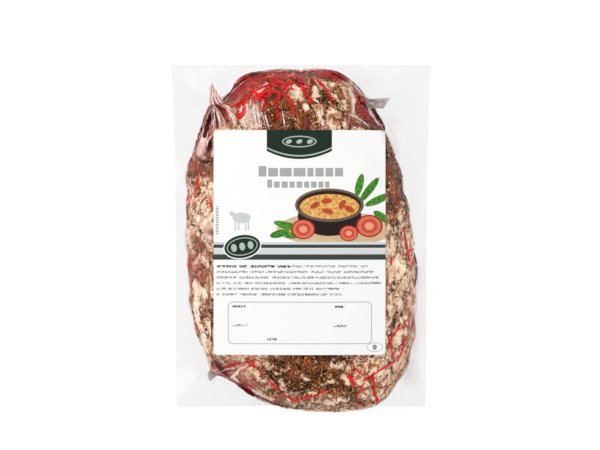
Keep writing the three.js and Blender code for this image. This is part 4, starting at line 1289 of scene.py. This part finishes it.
# %% Creases: route in plan, width, and 0 for white, a painted highlight, 1 for pink or 2 for dark
CREASES = [
    ([(-20.4, 70.5), (-19, 65), (-17.3, 60.1)], 0.8, 0), ([(-10.5, 71.5), (-9.4, 65), (-8.8, 60)], 0.7, 0),
    ([(9.9, 70.6), (12.1, 63.8), (13.3, 60.9)], 0.8, 0), ([(28.7, 62.4), (30.4, 60.3)], 0.7, 0),
    ([(24, 69.6), (30.8, 67.5), (37.2, 62.8), (37.7, 60.6)], 0.6, 0), ([(26.3, 84.8), (28.4, 79.2)], 1.2, 1),
    ([(30.3, 79.1), (30.9, 75.7), (24.5, 70.1)], 0.7, 1), ([(-33, 74.4), (-33.2, 69.6)], 1.0, 0),
    ([(-26.7, 76.3), (-26.2, 71), (-25.9, 65.7)], 0.9, 0), ([(-24.4, 75), (-23.6, 68), (-22.4, 61)], 0.8, 0),
    ([(-28.3, 65.1), (-26.7, 60.5)], 0.8, 0), ([(-32.2, 65.9), (-30.2, 60.4)], 0.8, 0),
    ([(-30.2, 76), (-29.4, 70)], 0.7, 0), ([(-29, 73), (-30.5, 68), (-33.5, 62)], 0.7, 0),
    ([(-22.5, 72), (-20.5, 66), (-19.5, 61)], 0.6, 1), ([(-27.8, 78), (-28.6, 72)], 0.7, 0),
    ([(-25.5, 70), (-25, 64), (-23.8, 60.5)], 0.7, 0), ([(-21, 77), (-21.8, 73)], 0.6, 0),
    ([(-49.3, 30.8), (-54, 24), (-57.2, 17.7), (-59.4, 7.6)], 0.8, 1),
    ([(-51.5, 14), (-52.6, 6), (-52.2, -4), (-50.4, -9)], 0.7, 1),
    ([(-47.1, 76.3), (-42.4, 74), (-39.3, 70.5), (-36.1, 65), (-35.7, 60.7)], 0.9, 1),
    ([(-49.5, 77), (-46, 70), (-43.5, 62.5)], 0.7, 1), ([(-49.8, 77), (-48.5, 68), (-47.2, 61.5)], 0.8, 0),
    ([(-50.2, 57.2), (-53.8, 50.6), (-57.3, 44.4)], 1.1, 1),
    # A painted shadow: a dark cord along the lower end of the left pocket.
    ([(-57.5, 44.4), (-54, 42.6), (-49.8, 43.2)], 1.8, 2),
    ([(-51, 57), (-52.3, 50)], 0.8, 0),
    ([(-50.3, 75.5), (-52.6, 67), (-56, 59.5)], 0.8, 1), ([(-59, 56), (-60.5, 51), (-61, 47)], 0.7, 1),
    ([(-48.2, 76.8), (-44.5, 71), (-40.5, 63.5)], 0.6, 2),
    ([(-49.4, 76), (-47.6, 70), (-45.6, 61.5)], 0.6, 2),
    ([(-50.8, 71), (-52, 66), (-54.4, 57.8)], 1.8, 2), ([(-50.3, 55.6), (-51.8, 48)], 1.6, 2),
    ([(-51.5, 76.6), (-53.7, 67.7), (-57.9, 59.3), (-60.6, 50.2), (-62.4, 42)], 0.9, 2),
    ([(-44.1, 78.5), (-36.5, 85.5), (-28.7, 92.2)], 1.2, 2),
    ([(-42.6, 78.8), (-35.4, 85.6), (-29, 90.4)], 0.6, 1),
    ([(25.7, 92.4), (31.4, 87.6), (37.9, 80.1)], 0.8, 2),
    ([(41.8, 73.2), (45.6, 67.6), (48.4, 60.4)], 1.9, 2),
    ([(15.7, 93.2), (20, 91.2), (24.5, 88.1)], 1.2, 2), ([(31.5, 77.4), (35, 75), (38.6, 72)], 1.3, 2),
    ([(-48.2, -78.4), (-34.6, -84), (-18.2, -92.4), (1.9, -97.4)], 0.8, 2),
    ([(-34, -83), (-29.1, -87.3), (-24, -90)], 2.2, 2), ([(-31, -82), (-26, -86), (-18, -90.2)], 0.7, 0),
    # The first of these is a painted shadow along the label's left edge.
    ([(-49.2, -36), (-49.6, -50), (-49, -63)], 0.9, 2), ([(-47.6, -76.2), (-40, -72), (-33, -71.4)], 0.7, 1),
    ([(-46, -77.5), (-38, -79.6), (-30, -82)], 0.7, 1), ([(-49.3, -68), (-50.4, -73)], 1.2, 2),
]
RING_X, RING_Y, RING_RADIUS, RING_POINTS, RING_WIDTH = -47.4, -75.2, 1.4, 12, 0.7
ring_turns = np.linspace(0, 2 * math.pi, RING_POINTS)
ring = [(RING_X + RING_RADIUS * math.cos(turn), RING_Y + RING_RADIUS * math.sin(turn)) for turn in ring_turns]
RIM_LINES = [  # from and to bearing, height of the line, width, and the finish's number
    (54, 12, 30, 0.9, 2), (8, -34, 30, 0.9, 2), (-30, -52, 30, 0.9, 1), (244, 253, 29, 1.1, 2),
    (229, 243, 29, 0.8, 1), (181, 196, 30, 0.8, 1), (196, 218, 30, 0.6, 2), (62, 84, 31, 0.9, 1),
    (96, 118, 31, 0.9, 1), (118, 130, 30, 0.9, 2),
]
RIM_LINE_STEP, CREASE_PROUD, TIP_SHARE, TAPER = 0.4, 0.12, -0.02, 0.35


def tapered(laid, width, kind):
    """A crease's points, their radii, which fall to almost nothing at both ends, and its finish's number."""
    share = np.linspace(0, 1, len(laid))
    return laid, width / 2 * soft_step(np.minimum(share, 1 - share), TIP_SHARE, TAPER), kind


crease_runs = []
for start, end, height, width, kind in RIM_LINES:
    bearing = np.linspace(start, end, int(abs(end - start) / RIM_LINE_STEP)) % 360
    laid = roast_point(bearing, tilt_at(np.full_like(bearing, height), bearing))
    crease_runs.append(tapered(laid.tolist(), width, kind))
for route, width, kind in [*CREASES, (ring, RING_WIDTH, 1)]:
    crease_runs.append(tapered(dropped(route, [film_tree, fan_tree], CREASE_PROUD), width, kind))


def crease_shader(colour, cover):
    def make(start):
        patchy = start.place().noise(500, 3, 0.6)
        body = start.body(colour, 0.5, 0.05, Normal=patchy.bump(0.3))
        return (patchy.smooth(0.3, 0.6) * cover).shaders(start.clear(CLEAR), body)

    return make


crease_finishes = [
    finish_of("painted highlight crease", crease_shader(srgb(250, 244, 242), 0.8)),
    finish_of("pink crease", crease_shader(srgb(238, 202, 196), 0.7)),
    finish_of("crease of juice and painted shadow", crease_shader(srgb(84, 14, 20), 0.95)),
]
settle("film_creases", cords(crease_runs), crease_finishes, "film")

# %% [markdown]
# ## The label
# A stiff paper label, bent a little over the roast. It starts as a box with its four upright edges rounded,
# is cut into strips both ways so that it can bend, and is then laid on the bed that the roast gives it.

# %% The label's mesh
LABEL_CUT, CORNER_STEPS = 3.0, 8
label_mesh = bmesh.new()
bmesh.ops.create_cube(label_mesh, size=1)
bmesh.ops.scale(label_mesh, verts=label_mesh.verts, vec=(LABEL_WIDTH, LABEL_LENGTH, LABEL_THICKNESS))
upright = [e for e in label_mesh.edges if abs(e.verts[0].co.z - e.verts[1].co.z) > LABEL_THICKNESS / 2]
round_off = {"offset": LABEL_CORNER, "segments": CORNER_STEPS, "profile": 0.5, "material": -1}
bmesh.ops.bevel(label_mesh, geom=upright, affect="EDGES", **round_off)
for axis, length in ((0, LABEL_WIDTH), (1, LABEL_LENGTH)):
    for cut in np.arange(-length / 2 + LABEL_CUT, length / 2 - 0.5, LABEL_CUT):
        through, facing_way = [0, 0, 0], [0, 0, 0]
        through[axis], facing_way[axis] = float(cut), 1
        everything = [*label_mesh.verts, *label_mesh.edges, *label_mesh.faces]
        bmesh.ops.bisect_plane(label_mesh, geom=everything, dist=1e-4, plane_co=through, plane_no=facing_way)
in_order(label_mesh)
for vertex in label_mesh.verts:
    x, y = vertex.co.x + LABEL_X, vertex.co.y + LABEL_Y
    vertex.co = (x, y, float(top_height(x, y)) + LABEL_GAP + LABEL_THICKNESS / 2 + vertex.co.z)
print("label", len(label_mesh.faces), "faces")

# %% [markdown]
# The print is drawn by the finish, in millimetres from the label's head left corner. It is plain: a dark
# tab, blocks and rows of ticks where words would be, a still life of simple shapes, stripes, a seal and an
# empty data box. Each shape is a mask, which is 1 inside and 0 outside, and colours are laid over each other
# through the masks like inks.

# %% Shapes for the print
INK_EDGE = 0.12


class Sheet:
    """A sheet of paper in millimetres, u to the right and v down, on which shapes are printed."""

    def __init__(self, u, v, colour):
        self.u, self.v, self.colour = u, v, colour

    def ink(self, mask, colour):
        self.colour = mask.mix(self.colour, colour)

    def box(self, left, top, right, bottom, corner=0.0):
        """A rectangle. Its corners are rounded if a corner is given."""
        across = (self.u - (left + right) / 2).taken("ABSOLUTE") - (right - left) / 2
        down = (self.v - (top + bottom) / 2).taken("ABSOLUTE") - (bottom - top) / 2
        if not corner:
            return across.most(down).smooth(INK_EDGE, -INK_EDGE)
        across, down = (across + corner).most(0.0), (down + corner).most(0.0)
        past = (across * across + down * down).taken("SQRT")
        return past.smooth(corner + INK_EDGE, corner - INK_EDGE)

    def oval(self, x, y, half_width, half_height, turn=0.0):
        """An ellipse, turned anticlockwise by some degrees."""
        cos, sin = math.cos(math.radians(turn)), math.sin(math.radians(turn))
        right, down = self.u - x, self.v - y
        along, aside = right * cos - down * sin, right * sin + down * cos
        far = along * along * half_width**-2 + aside * aside * half_height**-2
        soft = 2 * INK_EDGE / min(half_width, half_height)
        return far.smooth(1 + soft, 1 - soft)

    def rings(self, x, y, turn, *rings):
        """Prints ovals inside each other. Each is its half width, half height and colour."""
        for half_width, half_height, colour in rings:
            self.ink(self.oval(x, y, half_width, half_height, turn), colour)


# %% The label's print
PAPER_WHITENESS = 0.76


def printed(red, green, blue):
    """An ink as it reads on paper that is not quite white."""
    return tuple(PAPER_WHITENESS * light for light in srgb(red, green, blue)[:3]) + (1.0,)


GREEN, PALE_GREEN = printed(34, 50, 39), printed(178, 196, 184)
STRIPE, PALE_STRIPE, LINE = printed(64, 71, 67), printed(216, 219, 219), printed(176, 178, 178)
PAPER, MARK = printed(251, 251, 249), printed(150, 152, 152)
TEXT, BOLD_TEXT, WORD = printed(84, 86, 86), printed(52, 54, 54), printed(70, 72, 72)
IRON, POT_RIM, POT_INSIDE = printed(44, 34, 32), printed(112, 96, 84), printed(52, 34, 26)
STEW_BIT = printed(188, 78, 50)
TITLE_BLOCKS = [4.3, 5.4, 6.6, 6.6, 3.4, 4.6, 4.2, 4.5]
SUBTITLE_BLOCKS = [2.7, 3.2, 3.4, 2.9, 3.1, 2.8, 3.1, 2.7, 2.4]
BLOCK_GAP, FIRST_TALLER, TICK_HEIGHT, BOLD_HEIGHT = 1.0, 1.1, 0.6, 0.7
LEAVES = [  # middle, length, turn
    (86, 33, 8.5, 52), (91, 38.5, 8, 24), (80.5, 30.5, 6.5, 76), (41, 53, 8, -16),
    (36.6, 57.2, 5.5, 14), (46, 57.6, 7, 8), (93, 48, 5.5, -34),
]
STEW_BITS = [(56, 41.5, 30), (63, 44.8, -15), (71, 41.2, 60), (62.4, 39.2, 5), (74.8, 43.6, -30)]
TOMATOES = [(49.5, 54.8, 6.6), (86, 53, 7.4), (74.6, 57, 5.2)]
TOMATO_RINGS = [(1, (160, 44, 32)), (0.88, (226, 116, 92)), (0.62, (206, 82, 60)), (0.34, (240, 160, 132))]
STRIPES = [(61.8, 63.2, PALE_STRIPE), (63.2, 65.1, STRIPE), (65.4, 68.6, PALE_STRIPE), (68.6, 71.6, STRIPE)]
TEXT_LINES = [(75.2, 84.9, 42), (78.3, 88.6, 0), (81.4, 91, 0), (84.5, 92.7, 0), (87.6, 72, 0), (90.7, 71, 0)]
WORDS = [
    (10.4, 97.3, 19.1), (66.2, 97.5, 73.2), (10.6, 107.7, 19.1), (66.2, 108.1, 74.6),
    (29.4, 115.5, 35.2),
]


def label_shader(start):
    where = start.place()
    x, y = (start.node("SeparateXYZ", {0: where}, output=axis) for axis in (0, 1))
    u = (x - (LABEL_X - LABEL_WIDTH / 2) * MM) * (1 / MM)
    v = ((LABEL_Y + LABEL_LENGTH / 2) * MM - y) * (1 / MM)
    sheet = Sheet(u, v, PAPER)
    flecks = where.noise(1500, 2, 0.5)

    # The dark tab at the head, with a pale arc just inside its round lower edge.
    curve = 4.5 - (u - 47.4) * (u - 47.4) * (4.5 / 18**2)
    tab = sheet.box(29.4, -2, 65.4, 30)
    sheet.ink(tab * (v - curve).smooth(11.7, 11.5), GREEN)
    sheet.ink(tab * (v - curve).smooth(9.3, 9.5) * (v - curve).smooth(10.3, 10.1), PALE_GREEN)
    sheet.rings(47.4, 6.4, 0, (9.5, 3.2, PALE_GREEN), (8.8, 2.6, GREEN))
    for place in (41.6, 47.4, 53.2):
        sheet.rings(place, 6.4, 20, (1.7, 1.1, PALE_GREEN))

    # Blocks where the title's letters would be, the first of them taller, and ticks up the left edge.
    for left, top, bottom, widths in ((24.9, 21, 25.7, TITLE_BLOCKS), (29.7, 28.5, 31.9, SUBTITLE_BLOCKS)):
        for i, width in enumerate(widths):
            block = sheet.box(left, top - (i == 0) * FIRST_TALLER, left + width, bottom, 0.3)
            sheet.ink(block * 0.6, STRIPE)
            left += width + BLOCK_GAP
    sheet.ink(sheet.box(1.2, 42, 2.8, 57.5) * (v * 0.8).taken("FRACT").smooth(0.35, 0.5) * 0.7, TEXT)

    # A still life: a board, a pot of yellow stew, sliced tomatoes and leaves.
    board = sheet.oval(68, 54.6, 33, 9.5) * sheet.box(31.4, 20, 96, 61.8)
    grain = where.stretched(1, 4, 1).noise(300, 3)
    sheet.ink(board, grain.mix(printed(196, 160, 118), printed(232, 208, 174)))
    green_leaf = flecks.smooth(0.4, 0.6).mix(printed(40, 96, 34), printed(96, 172, 62))
    for leaf_u, leaf_v, length, turn in LEAVES:
        sheet.rings(leaf_u, leaf_v, turn, (length, 2.1, green_leaf))
    sheet.rings(64, 47.5, 0, (17.5, 11, IRON))
    sheet.rings(64, 41.5, 0, (19, 9.2, POT_RIM), (17.4, 7.9, POT_INSIDE))
    stew = where.noise(700, 3, 0.6).smooth(0.35, 0.65).mix(printed(206, 132, 58), printed(240, 200, 120))
    sheet.rings(64, 42.3, 0, (16.4, 6.9, stew))
    for bit_u, bit_v, turn in STEW_BITS:
        sheet.rings(bit_u, bit_v, turn, (3.0, 1.5, STEW_BIT))
    for tomato_u, tomato_v, size in TOMATOES:
        rings = [(size * share, size * 0.84 * share, printed(*colour)) for share, colour in TOMATO_RINGS]
        sheet.rings(tomato_u, tomato_v, 0, *rings)

    # Stripes and a round seal, then a small grazing beast in grey.
    for top, bottom, colour in STRIPES:
        sheet.ink(sheet.box(-2, top, 98, bottom), colour)
    seal = (10.6, 6.9, PAPER), (10, 6.3, GREEN), (8.6, 4.9, PALE_GREEN), (8.1, 4.4, GREEN)
    sheet.rings(15.9, 64.3, 10, *seal)
    for shift in (-4.6, 0, 4.6):
        sheet.rings(15.9 + shift, 64.3 - shift * 0.18, 10, (1.6, 2.2, PALE_GREEN))
    beast = sheet.oval(15.6, 48.4, 5, 2.9).most(sheet.oval(10.6, 46.4, 1.7, 1.2, -30))
    beast = beast.most(sheet.oval(9.9, 45.6, 0.5, 1.0, 40))
    for leg in (12.2, 13.9, 17.8, 19.4):
        beast = beast.most(sheet.box(leg - 0.45, 49.5, leg + 0.45, 55.3))
    sheet.ink(beast, printed(205, 210, 210))

    # Ruled ticks where the small print would be, and an empty data box.
    words = where.stretched(1, 1, 0).noise(330, 0).smooth(0.33, 0.36)
    ticks = where.stretched(1, 0.4, 0).noise(1500, 1, 0.4).smooth(0.38, 0.56) * words
    for line_v, right, bold in TEXT_LINES:
        sheet.ink(sheet.box(1.7, line_v - TICK_HEIGHT, right, line_v + TICK_HEIGHT) * ticks * 0.8, TEXT)
        if bold:
            sheet.ink(sheet.box(1.7, line_v - BOLD_HEIGHT, bold, line_v + BOLD_HEIGHT) * ticks, BOLD_TEXT)
    sheet.ink(sheet.box(7.9, 94.7, 87.5, 118.2, 2.7), LINE)
    sheet.ink(sheet.box(8.35, 95.15, 87.05, 117.75, 2.3), PAPER)
    for left, word_v, right in WORDS:
        word = sheet.box(left, word_v - TICK_HEIGHT, right, word_v + TICK_HEIGHT)
        sheet.ink(word * ticks, WORD)
    sheet.rings(89.1, 120, 0, (4.5, 2.6, MARK), (4.25, 2.35, PAPER), (1.2, 1.5, MARK))
    fibre = where.noise(900, 3).bump(0.04)
    return start.body(sheet.colour, 0.5, 0.1, Normal=fibre)


label = settle("paper_label", label_mesh, [finish_of("printed paper", label_shader)], "label", smooth=False)
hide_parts("label")

# %% [markdown]
# ## Stage, light and camera
# The pack lies on a plain white floor under soft light. Big lamps stand over the head, the foot and both
# sides. The film mirrors only the two at the sides and a small bright one over the head, which draws thin
# glints on its wrinkles. The camera looks straight down.

# %% Stage
FLOOR_HALF_WIDTH, FLOOR_Z = 3, -0.0008
FLOOR_GREY, FLOOR_GLOW = (0.12, 0.12, 0.12, 1), (1, 1, 1, 1)
floor_mesh = bmesh.new()
bmesh.ops.create_grid(floor_mesh, x_segments=1, y_segments=1, size=FLOOR_HALF_WIDTH)
bmesh.ops.translate(floor_mesh, verts=floor_mesh.verts, vec=(0, 0, FLOOR_Z))
floor_data = bpy.data.meshes.new("floor")
floor_mesh.to_mesh(floor_data)
floor_mesh.free()


def floor_shader(start):
    return start.body(FLOOR_GREY, 0.9, 0.0, Emission_Color=FLOOR_GLOW, Emission_Strength=0.9)


floor_data.materials.append(finish_of("white floor", floor_shader))
floor = linked("floor", floor_data)


# %% Light
def sky_shader(start):
    up = start.node("SeparateXYZ", {0: start.node("TexCoord", output="Generated")}, output=2)
    return start.node("Background", {"Strength": up.taken("ABSOLUTE").smooth(0.25, 0.9) * -0.4 + 0.5})


world = bpy.data.worlds.new("studio")
bpy.context.scene.world = world
world.use_nodes = True
world.node_tree.nodes.clear()
sky = sky_shader(Wire(world.node_tree))
world.node_tree.links.new(sky.socket, world.node_tree.nodes.new("ShaderNodeOutputWorld").inputs["Surface"])
LAMPS = [  # place, size, watts, and whether the film mirrors it
    ((-0.25, 0.75, 1.1), (0.9, 0.35), 9.0, False),
    ((-0.2, 0.7, 1.15), (0.34, 0.1), 2.0, True),
    ((-0.95, 0.0, 0.7), (0.6, 1.2), 6.4, True),
    ((0.95, -0.1, 0.7), (0.6, 1.2), 5.6, True),
    ((0.0, -0.9, 0.9), (1.2, 0.7), 5.6, False),
]
for place, (width, height), watts, is_mirrored in LAMPS:
    light = bpy.data.lights.new("softbox", "AREA")
    light.shape, light.size, light.size_y, light.energy = "RECTANGLE", width, height, watts
    lamp = linked("softbox", light)
    lamp.location = place
    lamp.visible_glossy = is_mirrored
    lamp.rotation_euler = (-Vector(place)).to_track_quat("-Z", "Y").to_euler()
bpy.context.scene.view_settings.view_transform = "Standard"

# %% Camera
LENS, SENSOR, CAMERA_AT = 117.5, 36, (-0.0006, 0.00757, 1.15)
camera_data = bpy.data.cameras.new("camera")
camera_data.lens, camera_data.sensor_width = LENS, SENSOR
camera = linked("camera", camera_data)
camera.location = CAMERA_AT
bpy.context.scene.camera = camera
